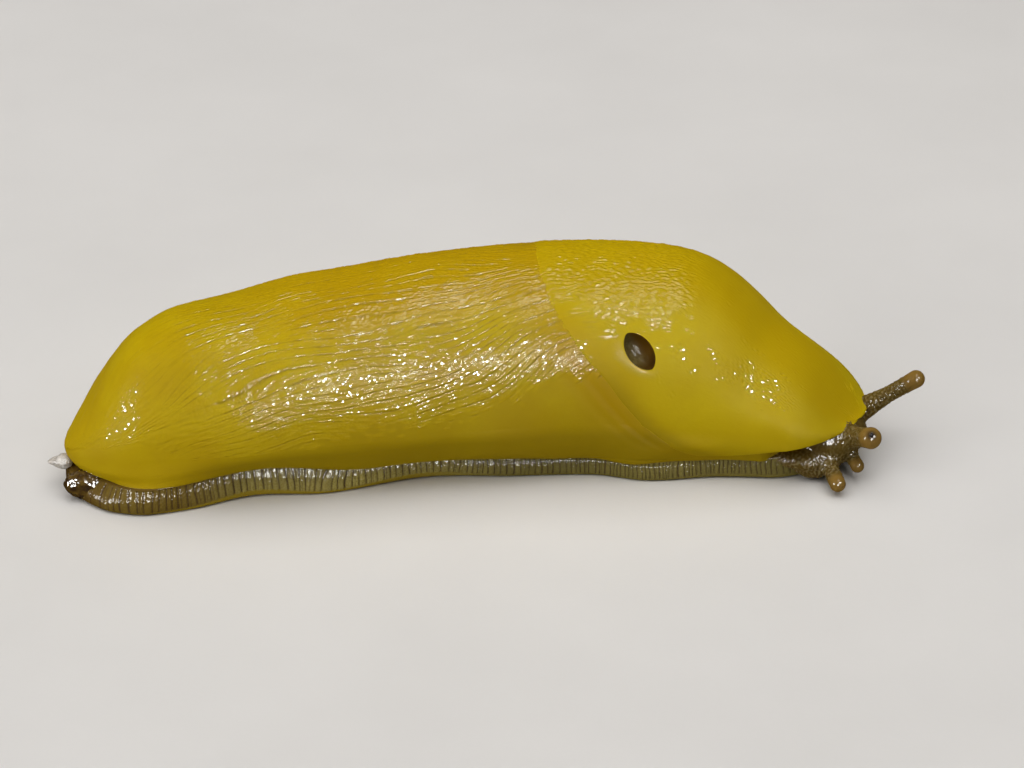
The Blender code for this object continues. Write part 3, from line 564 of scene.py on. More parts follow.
def mantle_relief(t, q):
    """Height, painted shade in the gaps, and gloss of the mantle's fine crumpled wrinkles on top, and of its
    wet specks.
    """
    s, w = t * LENGTH, round_length(q)
    bend = 0.14 * sample(clouds(35, 3.5, 2), s, w)
    dome, between = (sample(field, s, w + bend) for field in tubercles(33, 0.8, 0.26))
    wrinkle = sample(grains(34, 1.4, 0.6, 0.4), s, w + bend)
    low = curve(EDGE_OF_CRUMPLE, t)
    ragged = 0.02 * sample(clouds(38, 2.5, 1.5), s, w)
    top = (1 - smooth(low - 0.02, low + 0.03, np.abs(q) + ragged)) * (1 - 0.9 * smooth(0.75, 0.82, t))
    cluster = smooth(1.1, 1.9, sample(clouds(31, 2.6, 2.0), s, w)) * (1 - smooth(0.38, 0.45, np.abs(q)))
    for at_t, at_q, long, high in SPARKLES:
        beside = (round_length(np.abs(q)) - round_length(at_q)) / high
        cluster = np.maximum(cluster, np.exp(-((t - at_t) * LENGTH / long) ** 2 - beside**2))
    uneven = 0.015 * sample(grains(39, 0.7, 0.65), s, w) * smooth(0.02, 0.3, cluster) * (1 - top)
    height = (0.12 * (dome - 0.6) * between + 0.03 * wrinkle) * top + uneven
    # painted shade: darker in the gaps between the wrinkles
    lines = 0.4 * (1 - between) * top
    shine = 0.5 * np.clip(smooth(0.1, 0.8, dome) * between + 0.15, 0, 1) * top
    return height, np.clip(lines, 0, 1), shine, np.clip(cluster, 0, 1) * (1 - top)


def mantle_rim_rows(v):
    """Stations and lifts of the rows that roll the rear rim under, softer on the flank."""
    q = v * RIM_SIDE
    soft = ROLL + 3.6 * smooth(0.12, 0.3, np.abs(q)) * (1 - smooth(0.6, 0.75, np.abs(q)))
    roll = [(1.6, -2.4), (1.0, -1.6), (0.5, -1.0), (0.2, -0.6), (0.06, -0.3), (0, -0.1), (0.06, 0.04),
            (0.15, 0.12), (0.3, 0.21), (0.48, 0.3), (0.68, 0.39), (0.9, 0.46), (1.15, 0.49), (ROLL, THICK)]
    wobble = 0.0013 * np.sin(9 * v + 1) + 0.0011 * np.sin(23 * v) + 0.0006 * np.sin(61 * v)
    rim = rear_rim(q) + wobble
    rows_t = [rim + back * (soft if lift > 0 else 1) / LENGTH for back, lift in roll]
    return rim + ROLL * soft / LENGTH, rows_t, [np.full(len(v), lift) for back, lift in roll]


def mantle_grid():
    """Stations, positions round the body and lifts of the mantle's points, from rim to rim."""
    half = np.concatenate([np.arange(0, 0.44, 0.0024), np.linspace(0.443, 1, 150)])
    v = np.concatenate([-half[::-1], half[1:]])
    start, rows_t, rows_lift = mantle_rim_rows(v)
    for share in 1 - (1 - np.linspace(0, 0.992, 361)[1:]) ** 1.4:
        rows_t.append(start + (1 - start) * share)
        rows_lift.append(np.full(len(v), THICK))
    T, lift = np.array(rows_t), np.array(rows_lift)
    Q = v * curve(LOWER_RIM, T)
    inset = (1 - np.abs(v)) * curve(LOWER_RIM, T) * EDGE_MM
    outer = np.interp(inset, [0, 0.08, 0.2, 0.4, 0.7, 1.1], [-0.06, 0.16, 0.28, 0.38, 0.46, THICK])
    whole = np.minimum(lift, outer)
    step = 0.16 - 0.1 * smooth(0.12, 0.32, np.abs(Q))
    step = step + (0.1 - step) * smooth(0.82, 0.97, T)
    whole = np.where(whole > 0, whole / THICK * step, whole)
    under = np.array([(1.3, -2.2), (0.8, -1.3), (0.35, -0.7), (0.08, -0.35), (0, -0.16)])
    end_q = curve(LOWER_RIM, T[:, :1]) - under[None, :, 0] / EDGE_MM
    end_lift = np.minimum(under[None, :, 1], lift[:, :1])
    T = np.concatenate([np.repeat(T[:, :1], 5, 1), T, np.repeat(T[:, -1:], 5, 1)], 1)
    Q = np.concatenate([-end_q, Q, end_q[:, ::-1]], 1)
    return T, Q, np.concatenate([end_lift, whole, end_lift[:, ::-1]], 1)


def make_mantle():
    """Mantle as a thick shield whose rim is rolled under onto the body."""
    T, Q, whole = mantle_grid()
    height, lines, gloss, dots = mantle_relief(T, Q)
    points = skin(T, Q, whole + height * smooth(-0.1, 0.15, whole) + swell(T, Q))
    centre, long_way, short_way, outward = pore_frame()
    offset = points - centre
    ring = almond(offset @ long_way, offset @ short_way)
    near = np.abs(offset @ outward) < 4
    side = smooth(0.1, 1.0, offset @ np.array(PORE_LIP_WAY) / PORE_SIZE[0])
    swollen = np.exp(-((ring - 1.22) / 0.17) ** 2) * near
    points = points + (0.06 * swollen * side)[..., None] * outward
    # painted shade: olive on the lower sides and beside the rear rim, and olive towards the front end
    shade = smooth(0.4, 0.75, np.abs(Q)) * 0.6 + 0.35 * smooth(0.88, 0.99, T)
    shade = shade + np.exp(-(behind_rim(T, Q) / 3.2) ** 2) * smooth(0.3, 0.45, np.abs(Q)) * 0.8
    # painted shade: ochre beside the rear rim on the flank, running on from the trunk's; the ochre on top is
    # the mantle's own colour
    warm = np.exp(-(behind_rim(T, Q) / 4.5) ** 2) * smooth(0.12, 0.3, np.abs(Q)) * 1.0
    warm = np.maximum(warm, 1 - smooth(0.1, 0.26, np.abs(Q)))
    values = values_like(T, furrow=np.clip(lines, 0, 1), shade=np.clip(shade, 0, 1), along=T * LENGTH,
                         warm=np.clip(warm, 0, 1), around=round_length(Q), mark=swollen * side,
                         gloss=np.maximum(gloss, 0.12 * swollen * side), dots=dots)
    return tube(points, values, MANTLE)


def plan_length(points, t):
    """Distance along a curve of half widths in the plan."""
    where = place(t, curve(points, t), 0)
    return np.concatenate([[0], np.cumsum(np.linalg.norm(np.diff(where, axis=0), axis=1))])


def rounded(controls, count):
    """Catmull-Rom curve through arrays of (p, z) control points, as count steps between each two."""
    controls = [2 * controls[0] - controls[1]] + controls + [2 * controls[-1] - controls[-2]]
    rows = []
    for k in range(1, len(controls) - 2):
        a, b, c, d = controls[k - 1:k + 3]
        for u in np.arange(count[k - 1]) / count[k - 1]:
            rows.append(0.5 * (2 * b + (c - a) * u + (2 * a - 5 * b + 4 * c - d) * u**2
                               + (3 * b - a - 3 * c + d) * u**3))
    rows.append(controls[-2])
    return np.stack(rows, 1)


def foot_section(hem, groove, t_hem, t_top):
    """Half widths and heights of one side of the foot, and where each point is on the fringe."""
    front = np.sqrt(np.clip(1 - (np.clip(t_hem - 0.905, 0, 1) / 0.052) ** 2, 0.02, 1))
    reach, inner = curve(hem, t_hem) * (0.35 + 0.65 * front), curve(groove, t_top) * (0.5 + 0.5 * front)
    inner = np.minimum(inner, reach - 0.15)
    top, lift = curve(FOOT_TOP, t_top) + 0.85 * GAP, curve(HEM_LIFT, t_hem)
    rise = top - lift
    sole = np.maximum(reach - SOLE_INSET, 0.3 * reach)
    span = reach - inner
    flare = 0.3 * np.clip(span / 1.2, 0.3, 1)
    rows = [(sole, 0 * sole), (reach - 0.4, lift * 0.35), (reach - 0.08, lift * 0.75 + 0.08 * rise),
            (reach + 0.02, lift + 0.28 * rise), (reach - span * 0.35 + flare, lift + 0.6 * rise),
            (reach - span * 0.78 + flare * 0.8, lift + 0.93 * rise), (inner + 0.25, top + 0.2),
            (inner - 0.5, top + 0.35), (inner - 1.3, top + 0.4)]
    controls = [np.stack([p, z], -1) for p, z in rows]
    line = rounded(controls, [4, 4, 5, 9, 9, 8, 5, 3])
    p, z = line[..., 0], line[..., 1]
    share = np.clip((reach[:, None] - p) / np.maximum(span, 0.2)[:, None], 0, 1)
    t = t_hem[:, None] + (t_top - t_hem)[:, None] * share
    return p, z, t, np.clip((z - lift[:, None]) / rise[:, None], -0.3, 1.3), rise


def panels(left, hem, t_hem, up):
    """Fringe's panels: depth of the lines between them, place in the panel, paleness and distance along."""
    grid = np.linspace(0, 0.96, 4001)
    far = plan_length(hem, grid)
    count = np.concatenate([[0], np.cumsum(np.diff(far) / curve(RIB_SPACING, grid[1:]))])
    along = np.interp(t_hem, grid, far)[:, None]
    slant = 0.2 * sample(clouds(41 + left, 7, 3), along + 0 * up, up * 2)
    pitch = np.interp(t_hem, grid, count)[:, None]
    pitch = pitch + 0.22 * sample(clouds(43 + left, 2.4, 2.4), along, 0 * along) + slant * up
    panel = np.floor(pitch).astype(int)
    random = np.random.default_rng(47 + left).uniform(0, 1, 400)
    inside = pitch - panel
    thin = 0.075 + 0.04 * random[(panel + 7) % 400]
    gap = np.exp(-(np.minimum(inside, 1 - inside) / thin) ** 2) * (0.6 + 0.4 * random[panel % 400])
    half_line = 0.5 * np.exp(-((inside - 0.45 + 0.15 * random[(panel + 9) % 400]) / 0.05) ** 2)
    half_line *= random[(panel + 5) % 400] > 0.72
    return np.maximum(gap, half_line), inside, random[(panel + 3) % 400], along


def foot_side(left, t_hem, t_top):
    """One side of the foot: points from the sole's middle up over the fringe, and its values."""
    hem, groove = (HEM_LEFT, GROOVE_LEFT) if left else (HEM, GROOVE)
    p, z, t, up, rise = foot_section(hem, groove, t_hem, t_top)
    line_at, inside, pale, along = panels(left, hem, t_hem, up)
    dp, dz = np.gradient(p, axis=1), np.gradient(z, axis=1)
    size = np.maximum(np.hypot(dp, dz), 1e-6)
    face = smooth(-0.02, 0.08, up) * (1 - smooth(0.96, 1.03, up))
    grain = sample(grains(45, 0.5, 0.5), along + 0 * up, up * 3.2)
    height = face * (0.06 * np.sin(math.pi * inside) - RIB_DEPTH * line_at) + 0.02 * grain * face
    second = np.exp(-((up - 0.8) / 0.03) ** 2) * smooth(0.4, 0.5, t) * (1 - smooth(0.72, 0.8, t))
    height = height - 0.1 * second
    p, z = p + dz / size * height, np.maximum(z - dp / size * height, 0)
    points = place(t, p if left else -p, z)
    tail = 1 - smooth(0.018, 0.04, t_hem)[:, None]
    edge = (1 - smooth(0.02, 0.11, up)) * (0.1 + 0.9 * smooth(0.08, 0.14, t) * (1 - smooth(0.4, 0.52, t)))
    # painted shadow: a brown line along the top of the fringe under the trunk's edge; the brown over the end
    # of the tail is the fringe's own colour
    shade = np.maximum(0.7 * smooth(0.98, 1.06, up), 0.9 * tail)
    # level on the fringe: painted shade that darkens its fore part beside the lit middle
    return points, values_like(up, furrow=np.clip(line_at * face, 0, 1), shade=shade, warm=edge,
                               mark=pale * face * (1 - tail), along=along, around=up * rise[:, None],
                               gloss=1 - smooth(0.12, 0.24, t), level=smooth(0.42, 0.58, t))


def make_foot():
    """Foot: a flat sole and a fringe of upright panels that fans round the end of the tail."""
    t = np.linspace(0.0, 0.955, 4001)
    far = plan_length(HEM, t)
    steps = np.linspace(0, far[-1], int(far[-1] / 0.1) + 1)
    t_hem = np.interp(steps, far, t)
    rear = np.linspace(0, 0.14, 801)
    hem_far, groove_far = plan_length(HEM, rear), plan_length(GROOVE, rear)
    fan = np.interp(np.interp(t_hem, rear, hem_far / hem_far[-1]), groove_far / groove_far[-1], rear)
    t_top = np.where(t_hem < 0.14, fan, t_hem)
    right, values_right = foot_side(False, t_hem, t_top)
    left, values_left = foot_side(True, t_hem, t_top)
    points = np.concatenate([right, left[:, ::-1]], 1)
    values = {name: np.concatenate([values_right[name], values_left[name][:, ::-1]], 1) for name in VALUES}
    return tube(points, values, SKIRT)


def turned(points, centre, degrees):
    """Points about a centre, turned about the vertical."""
    angle = math.radians(degrees)
    c, s = math.cos(angle), math.sin(angle)
    x, y, z = (points - centre).T
    return np.stack([c * x + s * y, c * y - s * x, z], -1)


def to_mass(points, mass, grow=0.0):
    """Distance to a rounded mass of the head."""
    size = np.array(mass[1]) + grow
    local = turned(points, np.array(mass[0]), HEAD_TURN)
    outer = np.linalg.norm(local / size, axis=1)
    inner = np.maximum(np.linalg.norm(local / size**2, axis=1), 1e-9)
    return outer * (outer - 1) / inner


def along_feeler(points, spec):
    """Share of the way along a feeler, and distance from its axis."""
    root, tip, radii = (np.array(value, float) for value in spec)
    axis = (tip - root) / np.linalg.norm(tip - root)
    end = tip - axis * radii[2]
    share = np.clip((points - root) @ (end - root) / ((end - root) @ (end - root)), 0, 1)
    return share, np.linalg.norm(points - root - share[:, None] * (end - root), axis=1)


def to_feeler(points, spec):
    """Distance to a feeler, which narrows from its root and swells a little at its tip."""
    share, away = along_feeler(points, spec)
    radii = spec[2]
    radius = curve([(0, radii[0] * 1.15), (0.25, radii[0] * 0.9), (0.7, radii[1]), (0.86, radii[1] * 1.05),
                    (1, radii[2])], share)
    return away - radius


FEELERS = (UPPER_RIGHT, UPPER_LEFT, LOWER_RIGHT, LOWER_LEFT)


def soft_union(distances, blend):
    """Distance to several masses that run into one another."""
    total = sum(np.exp(-distance / blend) for distance in distances)
    return -blend * np.log(np.maximum(total, 1e-30))


def head_distance(points):
    """Distance to the head's skin: its masses and feelers run softly into one another."""
    masses = [to_mass(points, mass) for mass in (BROW, MUZZLE, FOREHEAD, CHEEK, *LOBES)]
    feelers = [to_feeler(points, spec) for spec in FEELERS]
    head = soft_union([*masses, *feelers], 0.3) + 0.05
    local = turned(points, np.array(MOUTH_AT), HEAD_TURN) / np.array(MOUTH_SIZE)
    slit = np.linalg.norm(local, axis=1)
    return head + 0.35 * np.exp(-(slit / 1.1) ** 4)


def gradient(function, points, step=0.02):
    """Slope of a function of points, by differences."""
    parts = []
    for axis in np.eye(3) * step:
        parts.append((function(points + axis) - function(points - axis)) / (2 * step))
    return np.stack(parts, -1)


def eye_centre(spec, way):
    """Centre of an eye, just under the skin of its feeler's rounded tip."""
    root, tip, radii = (np.array(value, float) for value in spec)
    axis = (tip - root) / np.linalg.norm(tip - root)
    return tip - axis * radii[2] + np.array(way) / np.linalg.norm(way) * (radii[2] - EYE_RADIUS * 0.75)


def head_blank():
    """Rough closed mesh round the head, with even quads for the skin to be drawn onto."""
    shape = bmesh.new()
    for centre, size in (BROW, MUZZLE, FOREHEAD, CHEEK, *LOBES):
        frame_of = Matrix.Translation(centre) @ Matrix.Rotation(math.radians(HEAD_TURN), 4, "Z")
        bmesh.ops.create_icosphere(shape, subdivisions=4, radius=1,
                                   matrix=frame_of @ Matrix.Diagonal((*size, 1)))
    for spec in FEELERS:
        root, tip, radii = (np.array(value, float) for value in spec)
        for share in np.linspace(0, 1, 24):
            end = tip - (tip - root) / np.linalg.norm(tip - root) * radii[2]
            size = float(curve([(0, radii[0]), (0.6, radii[1]), (1, radii[2])], share))
            bmesh.ops.create_icosphere(shape, subdivisions=3, radius=size,
                                       matrix=Matrix.Translation(root + (end - root) * share))
    mesh = bpy.data.meshes.new("head_blank")
    shape.to_mesh(mesh)
    shape.free()
    item = bpy.data.objects.new("head_blank", mesh)
    bpy.context.scene.collection.objects.link(item)
    remesh = item.modifiers.new("remesh", "REMESH")
    remesh.mode, remesh.voxel_size = "VOXEL", 0.09
    graph = bpy.context.evaluated_depsgraph_get()
    result = bpy.data.meshes.new_from_object(item.evaluated_get(graph))
    points = np.empty(len(result.vertices) * 3, np.float32)
    result.vertices.foreach_get("co", points)
    corners = np.empty(len(result.loops), np.int32)
    result.loops.foreach_get("vertex_index", corners)
    bpy.data.objects.remove(item)
    return points.reshape(-1, 3).astype(float), corners.reshape(-1, 4)


def make_head():
    """Head with its four feelers as one skin, granular on the cheeks and lips and smooth on the brow."""
    points, quads = head_blank()
    for _ in range(6):
        slope = gradient(head_distance, points)
        points -= slope * (head_distance(points) / np.maximum((slope**2).sum(1), 0.05))[:, None]
    slope = gradient(head_distance, points)
    normal = slope / np.maximum(np.linalg.norm(slope, axis=1, keepdims=True), 1e-9)
    granule = bumps(waves(61, 0.46), points)
    small = bumps(waves(62, 0.28), points)
    tip, ring, eye = np.zeros(len(points)), np.zeros(len(points)), np.zeros(len(points))
    for spec in FEELERS:
        share, away = along_feeler(points, spec)
        on = smooth(2.2, 1.4, away) * smooth(0.12, 0.3, share)
        long = np.linalg.norm(np.array(spec[1]) - np.array(spec[0]))
        wave = np.cos(share * long / 0.42 * 2 * math.pi + 1.5 * granule)
        ring = np.maximum(ring, on * (0.5 + 0.5 * wave))
        tip = np.maximum(tip, smooth(2.2, 1.4, away) * smooth(0.8, 0.98, share))
    for spec, way in ((UPPER_RIGHT, EYE_WAY_RIGHT), (UPPER_LEFT, EYE_WAY_LEFT)):
        eye = np.maximum(eye, np.exp(-(np.linalg.norm(points - eye_centre(spec, way), axis=1) / 0.62) ** 4))
    brow = smooth(3.2, 4.4, points[:, 2]) * (1 - np.minimum(ring * 2, 1))
    rough = (1 - 0.8 * brow) * (1 - 0.95 * tip)
    dome = np.tanh(granule * 1.3)
    height = 0.055 * dome * rough + 0.012 * small * rough - 0.035 * ring * (1 - tip)
    points = points + normal * height[:, None]
    points[:, 2] = np.maximum(points[:, 2], 0.02)
    # painted shade in the hollows between the granules; the paler granule tops are partly their own colour,
    # partly a painted highlight
    values = values_like(tip, furrow=np.clip(-dome * 0.7, 0, 1) * rough, shade=tip, mark=eye,
                         warm=np.clip(dome, 0, 1) * rough)
    none = np.zeros((0, 3), np.int64)
    return {"points": points, "quads": quads, "triangles": none, "values": values, "paint": HEAD}


def lumpy_ball(mass, seed, height, taper):
    """Rounded mass covered in lumps and narrowed towards -X, in triangles."""
    shape = bmesh.new()
    bmesh.ops.create_icosphere(shape, subdivisions=5, radius=1)
    shape.verts.index_update()
    unit = np.array([corner.co[:] for corner in shape.verts])
    triangles = np.array([[corner.index for corner in face.verts] for face in shape.faces])
    shape.free()
    narrow = 1 - taper * smooth(0.6, -1, unit[:, 0])
    points = unit * np.array(mass[1]) * np.stack([np.ones(len(unit)), narrow, narrow], -1)
    lumps = bumps(waves(seed, 1.0, 60), points) * 0.6 + bumps(waves(seed + 1, 0.45, 60), points) * 0.3
    points = points * 0.93 + unit * (lumps * height)[:, None] + mass[0]
    points[:, 2] = np.maximum(points[:, 2], 0.03)
    return points, triangles, lumps


def make_mucus():
    """Dark lumpy slime that fills the hollow under the tip of the tail."""
    points, triangles, lumps = lumpy_ball(MUCUS, 75, 0.075, 0.1)
    # painted shade in the hollows between the lumps
    values = values_like(lumps, furrow=np.clip(-lumps, 0, 1))
    none = np.zeros((0, 4), np.int64)
    return {"points": points, "quads": none, "triangles": triangles, "values": values, "paint": SLIME}


def solve(item, tool, operation):
    """Join or cut a closed mesh with another by Blender's own solver."""
    modifier = item.modifiers.new("solve", "BOOLEAN")
    modifier.object, modifier.operation, modifier.solver = tool, operation, "MANIFOLD"
    graph = bpy.context.evaluated_depsgraph_get()
    mesh = bpy.data.meshes.new_from_object(item.evaluated_get(graph))
    item.modifiers.clear()
    item.data = mesh
    bpy.data.objects.remove(tool)
    return item


# Materials: node trees of colour, roughness and bump, driven by the values at the points.
class Nodes:
    """Short names for making and joining shader nodes."""

    def __init__(self, name):
        self.material = bpy.data.materials.new(name)
        self.material.use_nodes = True
        self.tree = self.material.node_tree
        self.shader = self.tree.nodes["Principled BSDF"]
        self.place = self.add("ShaderNodeTexCoord").outputs["Object"]

    def add(self, kind, **settings):
        node = self.tree.nodes.new(kind)
        for key, value in settings.items():
            setattr(node, key, value)
        return node

    def join(self, value, socket):
        if hasattr(value, "is_output"):
            self.tree.links.new(value, socket)
        else:
            socket.default_value = value

    def value(self, name):
        return self.add("ShaderNodeAttribute", attribute_name=name).outputs["Fac"]

    def noise(self, size_mm, detail=3.0, rough=0.55, warp=0.0):
        node = self.add("ShaderNodeTexNoise")
        self.join(self.place, node.inputs["Vector"])
        node.inputs["Scale"].default_value = 1 / (size_mm * MM)
        node.inputs["Detail"].default_value = detail
        node.inputs["Roughness"].default_value = rough
        node.inputs["Distortion"].default_value = warp
        return node.outputs["Fac"]

    def grain(self, along_mm, across_mm):
        """Fine noise drawn out along the furrows and kept to one spacing, from the values in the mesh."""
        level = self.value("level")
        low = self.math("FLOOR", level, 0.0)
        layers = []
        for step in (0.0, 1.0):
            scale = self.math("POWER", 2.0, self.math("ADD", low, step))
            across = self.math("MULTIPLY", self.math("MULTIPLY", self.value("around"), scale), 1 / across_mm)
            spot = self.add("ShaderNodeCombineXYZ")
            self.join(self.math("MULTIPLY", self.value("along"), 1 / along_mm), spot.inputs[0])
            self.join(across, spot.inputs[1])
            self.join(self.math("MULTIPLY", scale, 3.7), spot.inputs[2])
            node = self.add("ShaderNodeTexNoise")
            self.join(spot.outputs[0], node.inputs["Vector"])
            node.inputs["Scale"].default_value = 1
            node.inputs["Detail"].default_value = 2
            layers.append(node.outputs["Fac"])
        share = self.span(self.math("SUBTRACT", level, low), 0.3, 0.7)
        change = self.math("MULTIPLY", self.math("SUBTRACT", layers[1], layers[0]), share)
        return self.math("ADD", layers[0], change)

    def cells(self, size_mm):
        node = self.add("ShaderNodeTexVoronoi")
        self.join(self.place, node.inputs["Vector"])
        node.inputs["Scale"].default_value = 1 / (size_mm * MM)
        return node.outputs["Distance"]

    def reach(self, centre, way):
        """Distance from a centre along a direction, in metres."""
        offset = self.add("ShaderNodeVectorMath", operation="SUBTRACT")
        self.join(self.place, offset.inputs[0])
        offset.inputs[1].default_value = tuple(centre)
        along = self.add("ShaderNodeVectorMath", operation="DOT_PRODUCT")
        self.join(offset.outputs[0], along.inputs[0])
        along.inputs[1].default_value = tuple(way)
        return along.outputs["Value"]

    def span(self, value, low, high, to_low=0.0, to_high=1.0):
        node = self.add("ShaderNodeMapRange")
        self.join(value, node.inputs["Value"])
        for name, number in zip(("From Min", "From Max", "To Min", "To Max"), (low, high, to_low, to_high)):
            node.inputs[name].default_value = number
        return node.outputs["Result"]

    def math(self, operation, first, second):
        node = self.add("ShaderNodeMath", operation=operation)
        self.join(first, node.inputs[0])
        self.join(second, node.inputs[1])
        return node.outputs[0]

    def mix(self, share, first, second):
        node = self.add("ShaderNodeMix", data_type="RGBA")
        self.join(share, node.inputs["Factor"])
        for socket, value in ((node.inputs[6], first), (node.inputs[7], second)):
            self.join((*value, 1) if isinstance(value, tuple) and len(value) == 3 else value, socket)
        return node.outputs[2]

    def tint(self, colour, name, share, towards):
        """Colour mixed towards another by a value in the mesh."""
        return self.mix(self.math("MULTIPLY", self.value(name), share), colour, towards)

    def blotches(self, size_mm, detail=3):
        """Noise with more contrast, from 0 to 1."""
        return self.span(self.noise(size_mm, detail), 0.35, 0.65)

    def bump(self, height, depth_mm):
        node = self.add("ShaderNodeBump")
        node.inputs["Strength"].default_value = 1
        node.inputs["Distance"].default_value = depth_mm * MM
        self.join(height, node.inputs["Height"])
        self.join(node.outputs["Normal"], self.shader.inputs["Normal"])

    def finish(self, colour, roughness, **numbers):
        self.join(colour, self.shader.inputs["Base Color"])
        self.join(roughness, self.shader.inputs["Roughness"])
        for name, number in numbers.items():
            self.shader.inputs[name.replace("_", " ")].default_value = number
        return self.material


WET = {"Coat_Weight": 1.0, "Coat_Roughness": 0.07, "Coat_IOR": 1.42, "IOR": 1.38, "Specular_IOR_Level": 0.02,
       "Subsurface_Radius": (1.0, 0.5, 0.1), "Subsurface_Scale": 0.0009}


def skin_material(name, light, deep, olive, ochre):
    """Yellow skin, ochre in its own places and as painted shade by the rim, olive as painted shade on the
    lower sides, painted shade in the furrows, wet only where it glints.
    """
    n = Nodes(name)
    broad = n.blotches(9, 2)
    fine = n.blotches(0.7)
    colour = n.mix(broad, light, deep)
    colour = n.mix(n.math("MULTIPLY", fine, 0.3), colour, deep)
    # ochre: the skin's own where it is ochre, and painted shade behind the rim, in the folds and along the
    # lower edge
    colour = n.tint(colour, "warm", 0.6, ochre)
    # painted shade: olive on the lower sides and by the rim
    colour = n.tint(colour, "shade", 0.8, olive)
    # painted shade in the furrows and in the gaps between the bumps
    colour = n.tint(colour, "furrow", 0.55, tuple(0.4 * part for part in deep))
    colour = n.tint(colour, "mark", 0.3, (0.62, 0.50, 0.14))
    pores = n.span(n.cells(0.33), 0.0, 0.25, 0.2, 0.0)
    colour = n.mix(pores, colour, ochre)
    dome = n.math("MULTIPLY", n.span(n.cells(0.55), 0.32, 0.16), n.span(n.noise(0.9, 1), 0.42, 0.5))
    dome = n.math("MULTIPLY", dome, n.span(n.value("dots"), 0.1, 0.4))
    calm = n.math("MULTIPLY", n.grain(0.75, 0.26), n.span(dome, 0, 1, 1.0, 0.25))
    n.bump(n.math("ADD", calm, n.math("MULTIPLY", dome, 0.4)), 0.022)
    rough = n.span(n.value("gloss"), 0, 1, 0.45, 0.3)
    rough = n.math("ADD", rough, n.span(n.noise(1.6, 3), 0.3, 0.7, 0, 0.12))
    coat = n.math("MAXIMUM", n.span(n.value("gloss"), 0, 1, 0.0, 0.5), n.span(dome, 0.2, 0.6))
    n.join(coat, n.shader.inputs["Coat Weight"])
    return n.finish(colour, rough, **WET)


def skirt_material():
    n = Nodes("skirt_wet")
    grain = n.span(n.cells(0.28), 0.05, 0.6)
    broad = n.blotches(5)
    colour = n.mix(grain, (0.36, 0.29, 0.055), (0.52, 0.44, 0.13))
    colour = n.mix(n.math("MULTIPLY", broad, 0.35), colour, (0.15, 0.12, 0.02))
    colour = n.tint(colour, "mark", 0.35, (0.31, 0.25, 0.09))
    # brown towards the tail: the fringe's own colour, made stronger as painted shade beside the lit middle
    colour = n.tint(colour, "gloss", 0.85, (0.15, 0.09, 0.007))
    # painted shade: the fore part of the fringe darker than its lit middle
    colour = n.tint(colour, "level", 0.7, (0.16, 0.135, 0.035))
    colour = n.mix(n.value("furrow"), colour, (0.06, 0.03, 0.02))
    # painted shadow along the top of the fringe under the trunk's edge, and the tail end's own brown
    colour = n.tint(colour, "shade", 0.85, (0.12, 0.065, 0.012))
    colour = n.tint(colour, "warm", 0.9, (0.42, 0.30, 0.02))
    n.bump(n.math("ADD", n.noise(0.16, 3), n.cells(0.24)), 0.012)
    settings = dict(WET, Coat_Weight=0.22, Coat_Roughness=0.12)
    return n.finish(colour, n.span(n.noise(1.2, 3), 0.3, 0.7, 0.34, 0.5), **settings)


def head_material():
    n = Nodes("head_wet")
    grain = n.span(n.cells(0.3), 0.05, 0.55)
    broad = n.blotches(3.5)
    colour = n.mix(grain, (0.10, 0.062, 0.009), (0.14, 0.092, 0.017))
    colour = n.mix(n.math("MULTIPLY", broad, 0.45), colour, (0.075, 0.043, 0.006))
    # paler granule tops: partly their own colour, partly a painted highlight
    colour = n.tint(colour, "warm", 0.45, (0.33, 0.27, 0.13))
    # painted shade in the hollows between the granules
    colour = n.tint(colour, "furrow", 0.35, (0.08, 0.05, 0.015))
    colour = n.tint(colour, "shade", 0.8, (0.27, 0.16, 0.035))
    colour = n.tint(colour, "mark", 0.9, (0.02, 0.012, 0.008))
    n.bump(n.math("ADD", n.noise(0.15, 3), n.cells(0.22)), 0.01)
    settings = dict(WET, Subsurface_Weight=0.12, Coat_Weight=0.25)
    return n.finish(colour, n.span(n.noise(1.0, 3), 0.3, 0.7, 0.28, 0.45), **settings)


def mucus_material():
    n = Nodes("mucus_wet")
    broad = n.blotches(0.9)
    colour = n.mix(broad, (0.055, 0.028, 0.008), (0.16, 0.095, 0.016))
    # painted shade in the hollows between the lumps
    colour = n.tint(colour, "furrow", 0.6, (0.025, 0.013, 0.006))
    n.bump(n.noise(0.3, 3), 0.03)
    return n.finish(colour, n.span(n.noise(0.8, 2), 0.3, 0.7, 0.2, 0.4), **WET)


def pore_material():
    """Lining of the breathing pore: grey olive, with painted shade making it dark brown on the high side and
    in front.
    """
    n = Nodes("pore_lining")
    centre, long_way, short_way, outward = pore_frame()
    middle = (centre - (CENTRE[0], CENTRE[1], 0)) * MM
    high = n.span(n.reach(middle, short_way * np.sign(short_way[2])), -0.5 * MM, 0.7 * MM)
    front = n.span(n.reach(middle, long_way), 0.9 * MM, 2.2 * MM)
    broad = n.blotches(0.7)
    colour = n.mix(broad, (0.15, 0.11, 0.03), (0.22, 0.17, 0.06))
    colour = n.mix(n.span(n.cells(0.25), 0, 0.4, 0.5, 0), colour, (0.10, 0.07, 0.015))
    # painted shade on the high wall of the pit
    colour = n.mix(high, colour, (0.16, 0.08, 0.008))
    # painted shade towards the pit's front end
    colour = n.mix(front, colour, (0.08, 0.04, 0.006))
    n.bump(n.noise(0.3, 3), 0.05)
    settings = dict(WET, Coat_Weight=0.05)
    return n.finish(colour, n.span(n.noise(0.8, 2), 0.3, 0.7, 0.4, 0.6), **settings)


